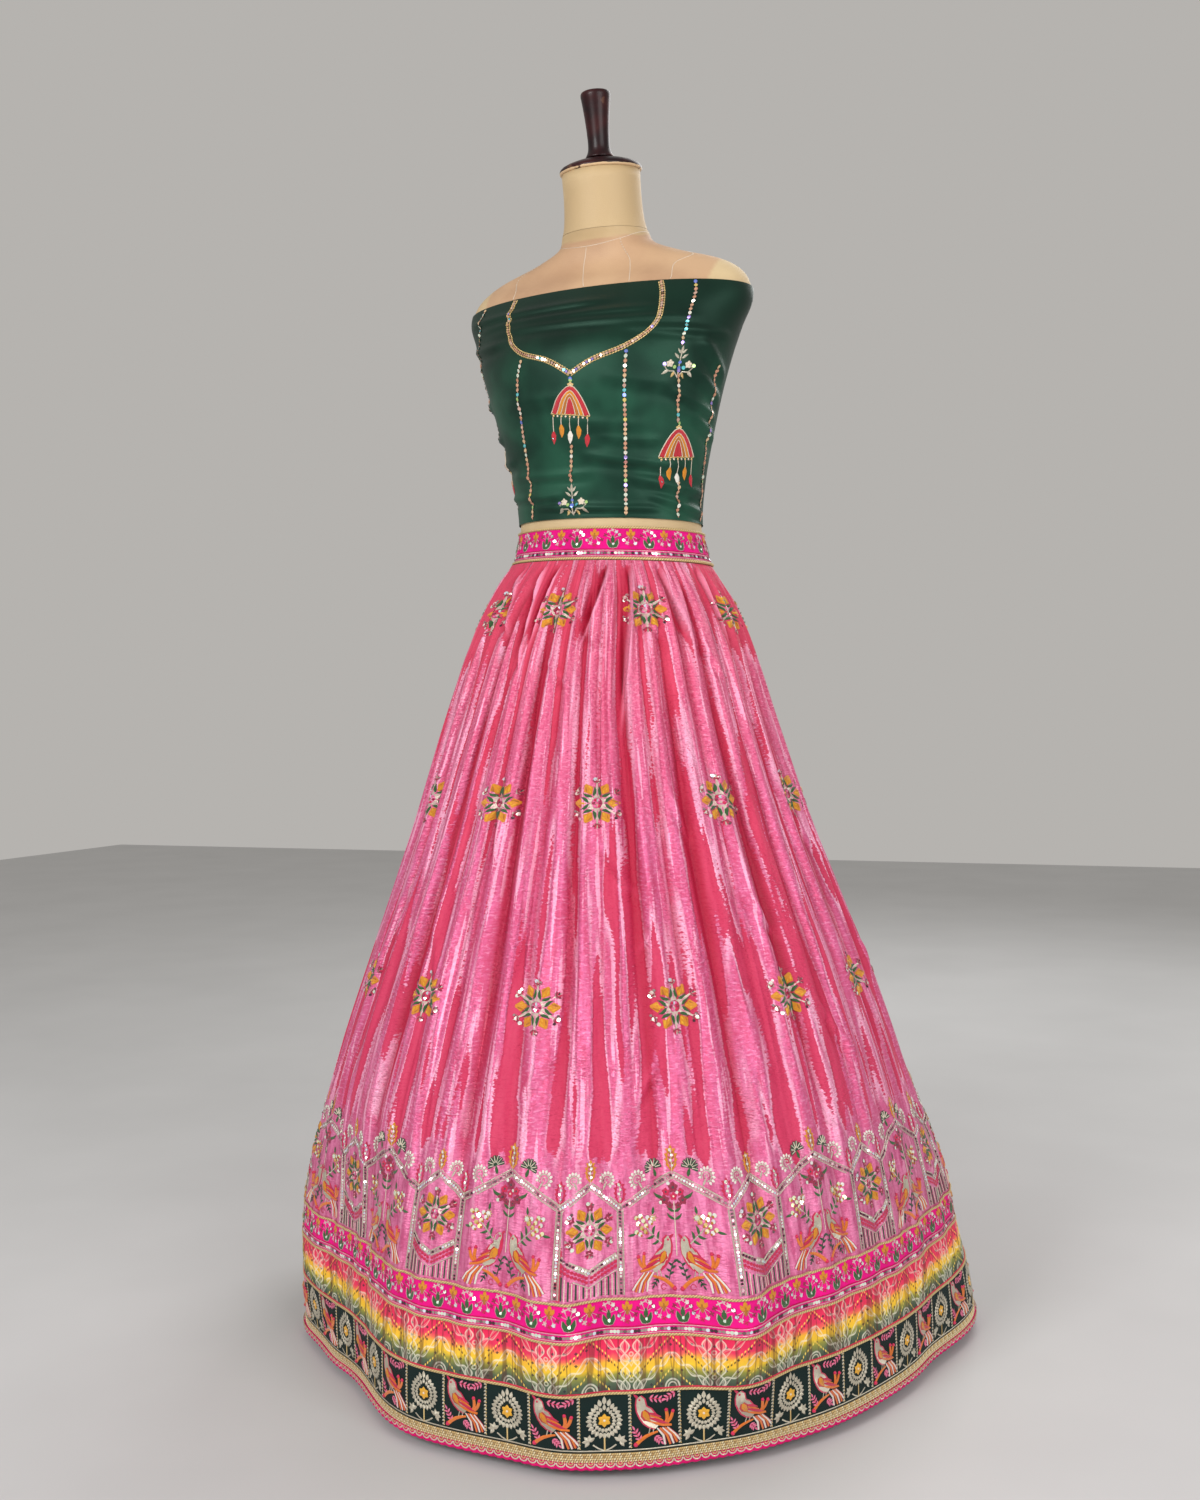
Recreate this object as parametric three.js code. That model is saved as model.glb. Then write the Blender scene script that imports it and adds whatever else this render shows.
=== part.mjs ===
// A flared lehenga skirt and its wrapped blouse cloth, on a limbless dress form with a round stand.
// Millimetres, +Z up. The origin is on the floor, under the stand's centre, and the form faces -Y.
// Angles round the garment are in degrees from the front, growing towards +X.
import * as THREE from "three";

// ---- Driving dimensions ------------------------------------------------------------------------

const HEM_Z = 12;                 // the hem hangs this far above the floor
const HEM_PIPING = 8;             // heights of the strips of the border, from the hem up
const HEM_LACE = 10;
const GREEN_BAND = 61;
const TIE_DYE_BAND = 56;
const RIBBON = 39;
const SKIRT_TOP_Z = 1003.5;
const WAIST_PIPING = 3.4;
const WAISTBAND_TOP_Z = 1044;
const BLOUSE_HEM_Z = 1058;
const BLOUSE_TOP_Z = 1355;
const WAIST_TILT = { degrees: 2.4, z: 1025, reach: 150 };

const CLOTH = 1.4;                // wall thickness of the skirt and blouse cloth
const BAND_CLOTH = 1.6;
const PIPING_CLOTH = 4.4;
const SEAM_GAP = 0.3;

const NECK_TILT = 8.5;            // degrees that the neck leans forward
const NECK_BASE_Z = 1446;
const NECK_HEIGHT = 77;
const CAP_RADIUS = 54.5;
const CAP_HEIGHT = 19;
const HANDLE_HEIGHT = 84;

const POLE_RADIUS = 16;
const BASE_RADIUS = 165;
const BASE_HEIGHT = 34;

// The skirt's cloth without its folds: half-width, half-depth and how far its middle leans towards -X.
const SKIRT_PROFILE = [
  // z,   side, front, lean
  [0,    420, 436, 0],
  [100,  419, 434, 0],
  [200,  410, 424, 0],
  [350,  375, 382, 0],
  [500,  327, 327, 1],
  [660,  268, 262, 4],
  [800,  224, 208, 6],
  [880,  199, 179, 5],
  [925,  182, 160, 3],
  [965,  162, 139, 1],
  [1004, 138, 108, 0],
];

// Wide waves of the hem: how far out they push the ribbon and the hem.
const HEM_WAVES = [
  // angle, half-width, ribbon, hem
  [-72,  16,  14,  -8],
  [-50,  12,   3, -12],
  [-33,  24, -32, -36],
  [12.5, 8,   22,   4],
  [19,   22,   3,  12],
  [39,   10,  34,   3],
  [66,   16,  -4,  -3],
  [106,  25,  22,  42],
  [139,  16, -10,  -8],
  [161,  13,  24,  14],
  [187,  17, -14, -10],
  [214,  16,  20,  20],
  [240,  14, -14,  -8],
  [262,  15,  18,  22],
];
const WAVE_HEIGHTS = { none: 370, ribbon: 165, hem: HEM_Z };

// Folds of the gathered cloth: the angle of each trough, and how deep it is under the waistband,
// half way down, and at the ribbon. A crest stands half way between two troughs.
const FOLDS = [
  // angle, waist, middle, ribbon
  [-67,  6,  7, 3],
  [-58,  8, 11, 4],
  [-50,  5,  6, 2],
  [-42,  8,  9, 3],
  [-35,  4,  5, 2],
  [-27,  8, 12, 5],
  [-20,  6,  5, 2],
  [-13,  5,  7, 3],
  [-5,   9, 14, 5],
  [3,    5,  8, 3],
  [12,   8, 10, 4],
  [19,   4,  7, 2],
  [27,   9, 12, 4],
  [35,   5,  8, 3],
  [43,   7, 14, 6],
  [52,   8,  6, 2],
  [60,   8, 12, 4],
  [69,   5,  8, 3],
  [77,   7,  7, 3],
  [86,   6, 10, 4],
  [96,   7,  8, 3],
  [105,  6, 11, 4],
  [114,  7,  7, 3],
  [124,  8, 12, 5],
  [133,  5,  8, 3],
  [143,  7, 10, 4],
  [152,  6,  6, 2],
  [161,  8, 12, 4],
  [170,  5,  8, 3],
  [180,  8, 13, 5],
  [189,  6,  7, 3],
  [198,  7, 10, 4],
  [208,  5,  7, 2],
  [217,  8, 12, 5],
  [227,  6,  8, 3],
  [237,  7, 11, 4],
  [246,  5,  7, 3],
  [256,  8, 12, 5],
  [265,  6,  8, 3],
  [275,  7, 10, 4],
  [284,  5,  8, 3],
];
const FOLD_HEIGHTS = { waist: 950, middle: 620, ribbon: 190, end: 60 };

// Three widths of cloth are joined in deep troughs. The border's strips are joined in the back one.
const PANEL_SEAMS = { front: [-58, 60], left: [60, 180], right: [180, 302] };
const PANEL_ROWS_Z = [270, 370, 500, 630, 770, 880, 945];
const BORDER_SEAM = 180;

// The dress form's body: half-width, half-depth, how far its middle lies behind the origin, and how far
// the section leans forward, in degrees.
const FORM_SECTIONS = [
  // z,    side, depth, back, lean
  [780,  160, 116,   6, 0],
  [850,  170, 124,   8, 0],
  [900,  166, 122,   7, 0],
  [950,  152, 114,   4, 0],
  [1008, 133, 103,   0, 0],
  [1055, 124,  96,   0, 0],
  [1110, 129, 100,  -2, 0],
  [1170, 142, 110,  -6, 0],
  [1225, 156, 120,  -9, 0],
  [1270, 170, 120,  -8, 0],
  [1310, 184, 108,  -1, 0],
  [1342, 197,  94,   6, 0],
  [1365, 194,  80,   9, 0],
  [1382, 181,  66,  11, 0],
  [1396, 156,  58,  11, 1],
  [1411, 109,  55,  10, 3],
  [1428, 68,   54,   6, 6],
  [NECK_BASE_Z, 57, 56, 0, NECK_TILT],
];
const FORM_STEPS = 44;            // columns round the form, and round the cloth that lies on it
const CLOTH_EASE = 0.5;           // from the form to the cloth that lies on it
const BLOUSE_OVERLAP_STEPS = 2;   // columns that the two ends overlap at the back

const COLOURS = {
  pink: 0xd9577f, hot_pink: 0xe6127c, tie_dye: 0xe0a030, dark_green: 0x14322a, gold: 0xc2a066,
  satin_green: 0x1c4a3a, canvas: 0xcdb88e, wood: 0x35100f, steel: 0x8b8d90, iron: 0x2a2b2d,
};

// ---- Helpers -----------------------------------------------------------------------------------

const radians = (degrees) => degrees * Math.PI / 180;
const wrap = (degrees) => ((degrees % 360) + 540) % 360 - 180;
const mix = (a, b, t) => a + (b - a) * t;
const smooth = (t) => {
  const s = Math.min(1, Math.max(0, t));
  return s * s * (3 - 2 * s);
};

// A smooth curve through a table's rows: the columns after z, at height z.
function column(table, z) {
  const last = table.length - 1;
  if (z <= table[0][0]) return table[0].slice(1);
  if (z >= table[last][0]) return table[last].slice(1);
  const i = table.findIndex((row, k) => k < last && z < table[k + 1][0]);
  const [p, q] = [table[i], table[i + 1]];
  const before = table[Math.max(0, i - 1)];
  const after = table[Math.min(last, i + 2)];
  const h = q[0] - p[0];
  const t = (z - p[0]) / h;
  return p.slice(1).map((_, k) => {
    const c = k + 1;
    const startSlope = (q[c] - before[c]) / (q[0] - before[0]) * h;
    const endSlope = (after[c] - p[c]) / (after[0] - p[0]) * h;
    return (2 * t ** 3 - 3 * t ** 2 + 1) * p[c] + (t ** 3 - 2 * t ** 2 + t) * startSlope
      + (-2 * t ** 3 + 3 * t ** 2) * q[c] + (t ** 3 - t ** 2) * endSlope;
  });
}

const ellipseRadius = (side, front, angle) => {
  const a = radians(angle);
  return side * front / Math.hypot(front * Math.sin(a), side * Math.cos(a));
};
const polar = (radius, angle, z) =>
  new THREE.Vector3(radius * Math.sin(radians(angle)), -radius * Math.cos(radians(angle)), z);

// The cloth at the waist hangs lower towards +X.
function tilted(point) {
  const share = smooth(1 - Math.abs(point.z - WAIST_TILT.z) / WAIST_TILT.reach);
  return point.setZ(point.z - share * point.x * Math.tan(radians(WAIST_TILT.degrees)));
}

// How far the hem's waves push the cloth out at an angle and height.
function wavePush(angle, z) {
  const h = WAVE_HEIGHTS;
  const grown = smooth((h.none - z) / (h.none - h.ribbon));
  const low = smooth((h.ribbon - z) / (h.ribbon - h.hem));
  return HEM_WAVES.reduce((sum, [centre, halfWidth, ribbon, hem]) => {
    const t = Math.abs(wrap(angle - centre)) / halfWidth;
    return t < 1 ? sum + grown * mix(ribbon, hem, low) * Math.cos(t * Math.PI / 2) ** 2 : sum;
  }, 0);
}

// A fold's depth at a height, from its three depths.
function foldDepth([, waist, middle, ribbon], z) {
  const h = FOLD_HEIGHTS;
  if (z > h.waist) return waist * smooth((SKIRT_TOP_Z - z) / (SKIRT_TOP_Z - h.waist));
  if (z > h.middle) return mix(waist, middle, smooth((h.waist - z) / (h.waist - h.middle)));
  if (z > h.ribbon) return mix(middle, ribbon, smooth((h.middle - z) / (h.middle - h.ribbon)));
  return mix(ribbon, 0, smooth((h.ribbon - z) / (h.ribbon - h.end)));
}

// The skirt's outer face at a column: troughs at even numbers, crests at odd ones.
function skirtPoint(step, z, turn) {
  const fold = Math.floor(step / 2) % FOLDS.length;
  const isCrest = step % 2 === 1;
  const [start] = FOLDS[fold];
  const width = (FOLDS[(fold + 1) % FOLDS.length][0] - start + 360) % 360;
  const angle = start + (isCrest ? width / 2 : 0) + turn;
  const depth = isCrest ? 0 : foldDepth(FOLDS[fold], z);
  const [side, front, lean] = column(SKIRT_PROFILE, z);
  const point = polar(ellipseRadius(side, front, angle) + wavePush(angle, z) - depth, angle, z);
  return tilted(point.setX(point.x - lean));
}

// The inner face of rows of outer points, each row listed round the garment: every point is moved in,
// level, and square to the chord between its neighbours.
function innerFace(rows, thickness) {
  return rows.map((row) => row.map((point, c) => {
    const next = row[(c + 1) % row.length];
    const previous = row[(c + row.length - 1) % row.length];
    const inward = new THREE.Vector3(previous.y - next.y, next.x - previous.x, 0);
    return point.clone().add(inward.setLength(thickness));
  }));
}

// A closed thin wall, from its lowest row up. A ring goes all round. An open wall is given one more column
// at each end, which only shows which way its end columns face.
function wall(rows, thickness, ring) {
  const trim = (row) => ring ? row : row.slice(1, -1);
  const outer = rows.map(trim);
  const inner = innerFace(rows, thickness).map(trim);
  const count = outer[0].length;
  const half = outer.length * count;
  const outerAt = (r, c) => r * count + c % count;
  const innerAt = (r, c) => half + outerAt(r, c);
  const index = [];
  const quad = (a, b, c, d) => index.push(a, b, c, a, c, d);
  const columns = ring ? count : count - 1;
  const top = outer.length - 1;
  for (let r = 0; r < top; r++) {
    for (let c = 0; c < columns; c++) {
      quad(outerAt(r, c), outerAt(r, c + 1), outerAt(r + 1, c + 1), outerAt(r + 1, c));
      quad(innerAt(r, c), innerAt(r + 1, c), innerAt(r + 1, c + 1), innerAt(r, c + 1));
    }
  }
  for (let c = 0; c < columns; c++) {
    quad(outerAt(0, c), innerAt(0, c), innerAt(0, c + 1), outerAt(0, c + 1));
    quad(outerAt(top, c), outerAt(top, c + 1), innerAt(top, c + 1), innerAt(top, c));
  }
  for (let r = 0; !ring && r < top; r++) {
    const end = count - 1;
    quad(outerAt(r, 0), outerAt(r + 1, 0), innerAt(r + 1, 0), innerAt(r, 0));
    quad(outerAt(r, end), innerAt(r, end), innerAt(r + 1, end), outerAt(r + 1, end));
  }
  return geometry([...outer.flat(), ...inner.flat()], index);
}

function geometry(points, index) {
  const made = new THREE.BufferGeometry().setFromPoints(points);
  made.setIndex(index);
  made.computeVertexNormals();
  return made;
}

// A solid through closed sections, with flat ends.
function loft(sections) {
  const count = sections[0].length;
  const points = sections.flat();
  const index = [];
  for (let s = 0; s + 1 < sections.length; s++) {
    for (let c = 0; c < count; c++) {
      const [a, b] = [s * count + c, s * count + (c + 1) % count];
      index.push(a, b, b + count, a, b + count, a + count);
    }
  }
  for (let c = 1; c + 1 < count; c++) {
    const top = (sections.length - 1) * count;
    index.push(0, c + 1, c, top, top + c, top + c + 1);
  }
  return geometry(points, index);
}

const garment = new THREE.Group();
function add(name, made, colour, roughness, metalness = 0, parent = garment) {
  const material = new THREE.MeshStandardMaterial({ color: COLOURS[colour], roughness, metalness });
  const mesh = new THREE.Mesh(made, material);
  mesh.name = name;
  parent.add(mesh);
  return mesh;
}

// ---- Skirt -------------------------------------------------------------------------------------

const pipingTop = HEM_Z + HEM_PIPING;
const laceTop = pipingTop + HEM_LACE;
const greenTop = laceTop + GREEN_BAND;
const tieDyeTop = greenTop + TIE_DYE_BAND;
const ribbonTop = tieDyeTop + RIBBON;

// Columns from one trough to another, drawn in by half a seam at both ends, with one more column beyond
// each end.
function skirtRows(fromAngle, toAngle, heights) {
  const troughAt = (angle) => FOLDS.findIndex(([trough]) => wrap(trough - angle) === 0);
  const first = 2 * troughAt(fromAngle);
  const folds = (troughAt(toAngle) - troughAt(fromAngle) + FOLDS.length) % FOLDS.length;
  const last = first + 2 * (folds || FOLDS.length);
  return heights.map((z) => {
    const halfSeam = SEAM_GAP / 2 / column(SKIRT_PROFILE, z)[0] * 180 / Math.PI;
    return Array.from({ length: last - first + 3 }, (_, k) => {
      const step = first + k - 1;
      const turn = step === first ? halfSeam : step === last ? -halfSeam : 0;
      return skirtPoint(step + 2 * FOLDS.length, z, turn);
    });
  });
}

function buildPanels() {
  const heights = [ribbonTop + SEAM_GAP, ...PANEL_ROWS_Z, SKIRT_TOP_Z];
  Object.entries(PANEL_SEAMS).forEach(([side, [from, to]]) => {
    add(`skirt_panel_${side}`, wall(skirtRows(from, to, heights), CLOTH, false), "pink", 0.45);
  });
}

function buildBorder() {
  const strips = [
    ["hem_ribbon", tieDyeTop, ribbonTop, "hot_pink"],
    ["tie_dye_band", greenTop, tieDyeTop, "tie_dye"],
    ["green_band", laceTop, greenTop, "dark_green"],
    ["hem_lace", pipingTop, laceTop, "gold"],
    ["hem_piping", HEM_Z, pipingTop, "hot_pink"],
  ];
  strips.forEach(([name, low, high, colour]) => {
    const rows = skirtRows(BORDER_SEAM, BORDER_SEAM, [low + SEAM_GAP, high]);
    add(name, wall(rows, BAND_CLOTH, false), colour, 0.6);
  });
}

// Half-width, half-depth, middle and lean of the form, which is straight between its sections.
function formSection(z) {
  const above = FORM_SECTIONS.findIndex((row, k) => k > 0 && row[0] >= z);
  const [low, high] = [FORM_SECTIONS[above - 1], FORM_SECTIONS[above]];
  const share = (z - low[0]) / (high[0] - low[0]);
  return low.slice(1).map((value, k) => mix(value, high[k + 1], share));
}

// A point of the form at a column and height, or of cloth that stands out from it by a push.
function formPoint(step, z, push) {
  const angle = radians(step / FORM_STEPS * 360);
  const [side, depth, back] = formSection(z);
  return new THREE.Vector3((side + push) * Math.sin(angle), back - (depth + push) * Math.cos(angle), z);
}

// The same on the tilted cloth, whose height is found before its section.
function clothPoint(step, z, push) {
  return formPoint(step, tilted(formPoint(step, z, push)).z, push);
}

const around = Array.from({ length: FORM_STEPS }, (_, step) => step);

function buildWaistband() {
  const bottom = SKIRT_TOP_Z + WAIST_PIPING + 2 * SEAM_GAP;
  const rings = [
    ["waistband", bottom, WAISTBAND_TOP_Z, BAND_CLOTH, "hot_pink"],
    ["waist_piping_bottom", SKIRT_TOP_Z + SEAM_GAP, bottom - SEAM_GAP, PIPING_CLOTH, "gold"],
    ["waist_piping_top", WAISTBAND_TOP_Z + SEAM_GAP, WAISTBAND_TOP_Z + WAIST_PIPING, PIPING_CLOTH, "gold"],
  ];
  rings.forEach(([name, low, high, thickness, colour]) => {
    const push = CLOTH_EASE + thickness;
    const rows = [low, high].map((z) => around.map((step) => clothPoint(step, z, push)));
    add(name, wall(rows, thickness, true), colour, 0.6);
  });
}

// ---- Blouse cloth ------------------------------------------------------------------------------

// One uncut cloth wrapped round the form, its outer end lying on its inner end at the back.
function buildBlouse() {
  const start = FORM_STEPS / 2 - BLOUSE_OVERLAP_STEPS / 2;
  const lapStart = start + FORM_STEPS;
  const end = lapStart + BLOUSE_OVERLAP_STEPS;
  const lift = CLOTH + 2 * SEAM_GAP;
  const between = FORM_SECTIONS.map(([z]) => z).filter((z) => z > BLOUSE_HEM_Z && z < BLOUSE_TOP_Z);
  const rows = [BLOUSE_HEM_Z, ...between, BLOUSE_TOP_Z].map((z) =>
    Array.from({ length: end - start + 3 }, (_, k) => {
      const step = start + k - 1;
      const lapped = smooth((step - lapStart) / BLOUSE_OVERLAP_STEPS + 1);
      return clothPoint(step, z, CLOTH_EASE + CLOTH + lift * lapped);
    }));
  add("blouse_wrap", wall(rows, CLOTH, false), "satin_green", 0.35);
}

// ---- Dress form and stand ----------------------------------------------------------------------

function buildForm() {
  const sections = FORM_SECTIONS.map((row) => around.map((step) => {
    const point = formPoint(step, row[0], 0);
    return point.setZ(point.z + point.y * Math.tan(radians(row[4])));
  }));
  add("form_body", loft(sections), "canvas", 0.85);
}

// Lathe profiles turn about Y, so each one is laid over onto +Z.
function turned(profile, steps) {
  const points = profile.map(([radius, height]) => new THREE.Vector2(radius, height));
  return new THREE.LatheGeometry(points, steps).rotateX(Math.PI / 2);
}

function buildNeckAndHandle() {
  const head = new THREE.Group();
  head.position.set(0, 0, NECK_BASE_Z);
  head.rotation.x = radians(NECK_TILT);
  garment.add(head);
  const neckTop = NECK_HEIGHT;
  const neck = [
    [0, SEAM_GAP], [57, SEAM_GAP], [54, 12], [52, 32], [51.5, 54], [52, neckTop], [0, neckTop],
  ];
  const capLow = neckTop + SEAM_GAP;
  const capTop = capLow + CAP_HEIGHT;
  const cap = [
    [0, capLow], [CAP_RADIUS - 2, capLow], [CAP_RADIUS, capLow + 2], [CAP_RADIUS, capLow + 5],
    [CAP_RADIUS - 3, capLow + 8], [42, capLow + 12.5], [26, capLow + 16.5], [14, capTop], [0, capTop],
  ];
  const low = capTop + SEAM_GAP;
  const high = low + HANDLE_HEIGHT;
  const handle = [
    [0, low], [17, low], [14.5, low + 5], [12.5, low + 12], [12.3, low + 22], [13.6, low + 42],
    [15.8, low + 64], [17.6, high - 7], [16.6, high - 2], [12, high], [0, high],
  ];
  add("form_neck", turned(neck, 36), "canvas", 0.85, 0, head);
  add("form_cap", turned(cap, 36), "wood", 0.25, 0, head);
  add("form_handle", turned(handle, 24), "wood", 0.2, 0, head);
}

function buildStand() {
  const base = [
    [0, 0], [BASE_RADIUS - 2, 0], [BASE_RADIUS, 3], [BASE_RADIUS, 8], [BASE_RADIUS - 5, 11],
    [60, 15], [34, 20], [27, BASE_HEIGHT], [0, BASE_HEIGHT],
  ];
  const poleLow = BASE_HEIGHT + SEAM_GAP;
  const poleHigh = FORM_SECTIONS[0][0] - SEAM_GAP;
  const pole = [[0, poleLow], [POLE_RADIUS, poleLow], [POLE_RADIUS, poleHigh], [0, poleHigh]];
  add("stand_base", turned(base, 40), "iron", 0.5, 0.6);
  add("stand_pole", turned(pole, 20), "steel", 0.3, 0.9);
}

buildPanels();
buildBorder();
buildWaistband();
buildBlouse();
buildForm();
buildNeckAndHandle();
buildStand();

export default garment;
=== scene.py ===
"""Looks of a flared lehenga and its wrapped blouse cloth, on a limbless dress form.

Tables and functions work in millimetres and degrees, as the CAD does; meshes are made in metres.
Angles go round from the front (-Y), growing towards +X.
"""

import math

import bpy
import numpy as np
from mathutils import Matrix, Vector


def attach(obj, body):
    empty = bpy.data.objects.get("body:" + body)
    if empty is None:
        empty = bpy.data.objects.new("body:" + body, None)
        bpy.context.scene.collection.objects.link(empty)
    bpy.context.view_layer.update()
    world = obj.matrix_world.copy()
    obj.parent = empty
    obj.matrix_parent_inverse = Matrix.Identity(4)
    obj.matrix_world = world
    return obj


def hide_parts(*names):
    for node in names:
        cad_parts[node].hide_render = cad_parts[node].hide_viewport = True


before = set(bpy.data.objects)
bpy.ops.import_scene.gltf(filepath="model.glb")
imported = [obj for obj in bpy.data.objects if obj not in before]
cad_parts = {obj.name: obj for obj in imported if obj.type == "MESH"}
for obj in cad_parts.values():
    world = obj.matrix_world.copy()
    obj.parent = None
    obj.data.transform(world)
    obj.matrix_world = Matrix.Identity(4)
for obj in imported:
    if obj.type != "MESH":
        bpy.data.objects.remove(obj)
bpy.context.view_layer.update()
rng = np.random.default_rng(11)

# ---- The CAD's own sizes -----------------------------------------------------------------------

HEM_Z, PIPING_TOP, LACE_TOP, GREEN_TOP, TIE_DYE_TOP, RIBBON_TOP = 12, 20, 30, 91, 147, 186
SKIRT_TOP, WAIST_LOW, WAIST_TOP = 1003.5, 1007.5, 1044
BLOUSE_LOW, BLOUSE_TOP = 1058, 1355
NECK_Z, NECK_TILT = 1446, 8.5
SEAM_GAP = 0.3

# ---- Sizes of the looks ------------------------------------------------------------------------

# heights at which the hem's flutes start and are full, and the slant of the cloth at the waist
FLUTES_TOP, FLUTES_FULL = 370, 165
WAIST_MIDDLE, WAIST_REACH, WAIST_TILT = 1025, 150, 2.4
# heights at which the folds have their depths of the waist, the middle and the ribbon, and their end
WAIST_FOLDS_Z, MIDDLE_FOLDS_Z, RIBBON_FOLDS_Z, FOLDS_END_Z = 950, 620, 190, 60
# depths: of a pleat that counts as deep, of the gathers under the waistband, of the small ripples
DEEP_PLEAT, GATHER_DEPTH, RIPPLE_DEPTH = 7, 2.2, 1.2
# how far cloth stands out: the waistband's seat and the blouse from the form, strips from the skirt
WAIST_PUSH, BLOUSE_PUSH, STRIP_PUSH = 0.5, 2.4, 0.3
# the blouse cloth's lap: its ends' angles, the degrees over which it rises, and how much
LAP_START, LAP_END, LAP_RISE, LAP_HEIGHT = 171.8, 188.2, 8.2, 2.0
# the arm plates' inner edge, the seam between neck and shoulders, and the tan cover's lower end
PLATE_X, PLATE_Z, PLATE_SLOPE = 163, 1390, 0.12
NECK_SEAM_Z, NECK_SEAM_SLOPE, TAN_LOW = 1438, 0.22, 1300
# mean radii that turn degrees into a length: of the chest in mm, and of the hem in metres
CHEST_RADIUS, HEM_RADIUS = 140, 0.43
# rows and columns of the skirt's widths and of the blouse cloth; steps round the hem, round a turned
# piece and round a cord
SKIRT_GRID, BLOUSE_GRID = (170, 300), (104, 320)
ROUND_STEPS, TURNED_STEPS, CORD_SIDES = 1080, 96, 6

SKIRT_PROFILE = [
    # z, side, front, lean
    (0, 420, 436, 0),
    (100, 419, 434, 0),
    (200, 410, 424, 0),
    (350, 375, 382, 0),
    (500, 327, 327, 1),
    (660, 268, 262, 4),
    (800, 224, 208, 6),
    (880, 199, 179, 5),
    (925, 182, 160, 3),
    (965, 162, 139, 1),
    (1004, 138, 108, 0),
]
HEM_WAVES = [
    # angle, half-width, ribbon, hem
    (-72, 16, 14, -8),
    (-50, 12, 3, -12),
    (-33, 24, -32, -36),
    (12.5, 8, 22, 4),
    (19, 22, 3, 12),
    (39, 10, 34, 3),
    (66, 16, -4, -3),
    (106, 25, 22, 42),
    (139, 16, -10, -8),
    (161, 13, 24, 14),
    (187, 17, -14, -10),
    (214, 16, 20, 20),
    (240, 14, -14, -8),
    (262, 15, 18, 22),
]
FOLDS = [
    # angle of the trough, its depth at the waist, the middle and the ribbon
    (-67, 6, 7, 3),
    (-58, 8, 11, 4),
    (-50, 5, 6, 2),
    (-42, 8, 9, 3),
    (-35, 4, 5, 2),
    (-27, 8, 12, 5),
    (-20, 6, 5, 2),
    (-13, 5, 7, 3),
    (-5, 9, 14, 5),
    (3, 5, 8, 3),
    (12, 8, 10, 4),
    (19, 4, 7, 2),
    (27, 9, 12, 4),
    (35, 5, 8, 3),
    (43, 7, 14, 6),
    (52, 8, 6, 2),
    (60, 8, 12, 4),
    (69, 5, 8, 3),
    (77, 7, 7, 3),
    (86, 6, 10, 4),
    (96, 7, 8, 3),
    (105, 6, 11, 4),
    (114, 7, 7, 3),
    (124, 8, 12, 5),
    (133, 5, 8, 3),
    (143, 7, 10, 4),
    (152, 6, 6, 2),
    (161, 8, 12, 4),
    (170, 5, 8, 3),
    (180, 8, 13, 5),
    (189, 6, 7, 3),
    (198, 7, 10, 4),
    (208, 5, 7, 2),
    (217, 8, 12, 5),
    (227, 6, 8, 3),
    (237, 7, 11, 4),
    (246, 5, 7, 3),
    (256, 8, 12, 5),
    (265, 6, 8, 3),
    (275, 7, 10, 4),
    (284, 5, 8, 3),
]
FORM_SECTIONS = [
    # z, side, depth, back, lean
    (780, 160, 116, 6, 0),
    (850, 170, 124, 8, 0),
    (900, 166, 122, 7, 0),
    (950, 152, 114, 4, 0),
    (1008, 133, 103, 0, 0),
    (1055, 124, 96, 0, 0),
    (1110, 129, 100, -2, 0),
    (1170, 142, 110, -6, 0),
    (1225, 156, 120, -9, 0),
    (1270, 170, 120, -8, 0),
    (1310, 184, 108, -1, 0),
    (1342, 197, 94, 6, 0),
    (1365, 194, 80, 9, 0),
    (1382, 181, 66, 11, 0),
    (1396, 156, 58, 11, 1),
    (1411, 109, 55, 10, 3),
    (1428, 68, 54, 6, 6),
    (NECK_Z, 57, 56, 0, NECK_TILT),
]

# ---- Surfaces ----------------------------------------------------------------------------------


def smooth(t):
    t = np.clip(t, 0, 1)
    return t * t * (3 - 2 * t)


def curve(table, z):
    """The columns of a table after its z, at heights z, on the smooth curve through its rows."""
    rows = np.array(table, float)
    heights, values = rows[:, 0], rows[:, 1:]
    last = len(rows) - 1
    i = np.clip(np.searchsorted(heights, z, side="right") - 1, 0, last - 1)
    before, after = np.maximum(i - 1, 0), np.minimum(i + 2, last)
    h = (heights[i + 1] - heights[i])[..., None]
    t = np.clip((z - heights[i])[..., None] / h, 0, 1)
    start = (values[i + 1] - values[before]) / (heights[i + 1] - heights[before])[..., None] * h
    end = (values[after] - values[i]) / (heights[after] - heights[i])[..., None] * h
    return (
        (2 * t**3 - 3 * t**2 + 1) * values[i]
        + (t**3 - 2 * t**2 + t) * start
        + (3 * t**2 - 2 * t**3) * values[i + 1]
        + (t**3 - t**2) * end
    )


def turned_from(angle, start):
    """Degrees from a start angle, from -180 to 180."""
    return (angle - start + 180) % 360 - 180


def tilted(points):
    """The cloth at the waist hangs lower towards +X."""
    share = smooth(1 - np.abs(points[..., 2] - WAIST_MIDDLE) / WAIST_REACH)
    points[..., 2] -= share * points[..., 0] * math.tan(math.radians(WAIST_TILT))
    return points


def hem_waves(angle, z):
    """How far out the hem's flutes carry the cloth, or in where this is negative."""
    grown = smooth((FLUTES_TOP - z) / (FLUTES_TOP - FLUTES_FULL))
    low = smooth((FLUTES_FULL - z) / (FLUTES_FULL - HEM_Z))
    out = np.zeros_like(angle)
    for centre, half_width, ribbon, hem in HEM_WAVES:
        away = np.abs(turned_from(angle, centre)) / half_width
        height = grown * (ribbon + (hem - ribbon) * low)
        out += np.where(away < 1, height * np.cos(np.minimum(away, 1) * np.pi / 2) ** 2, 0)
    return out


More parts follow.
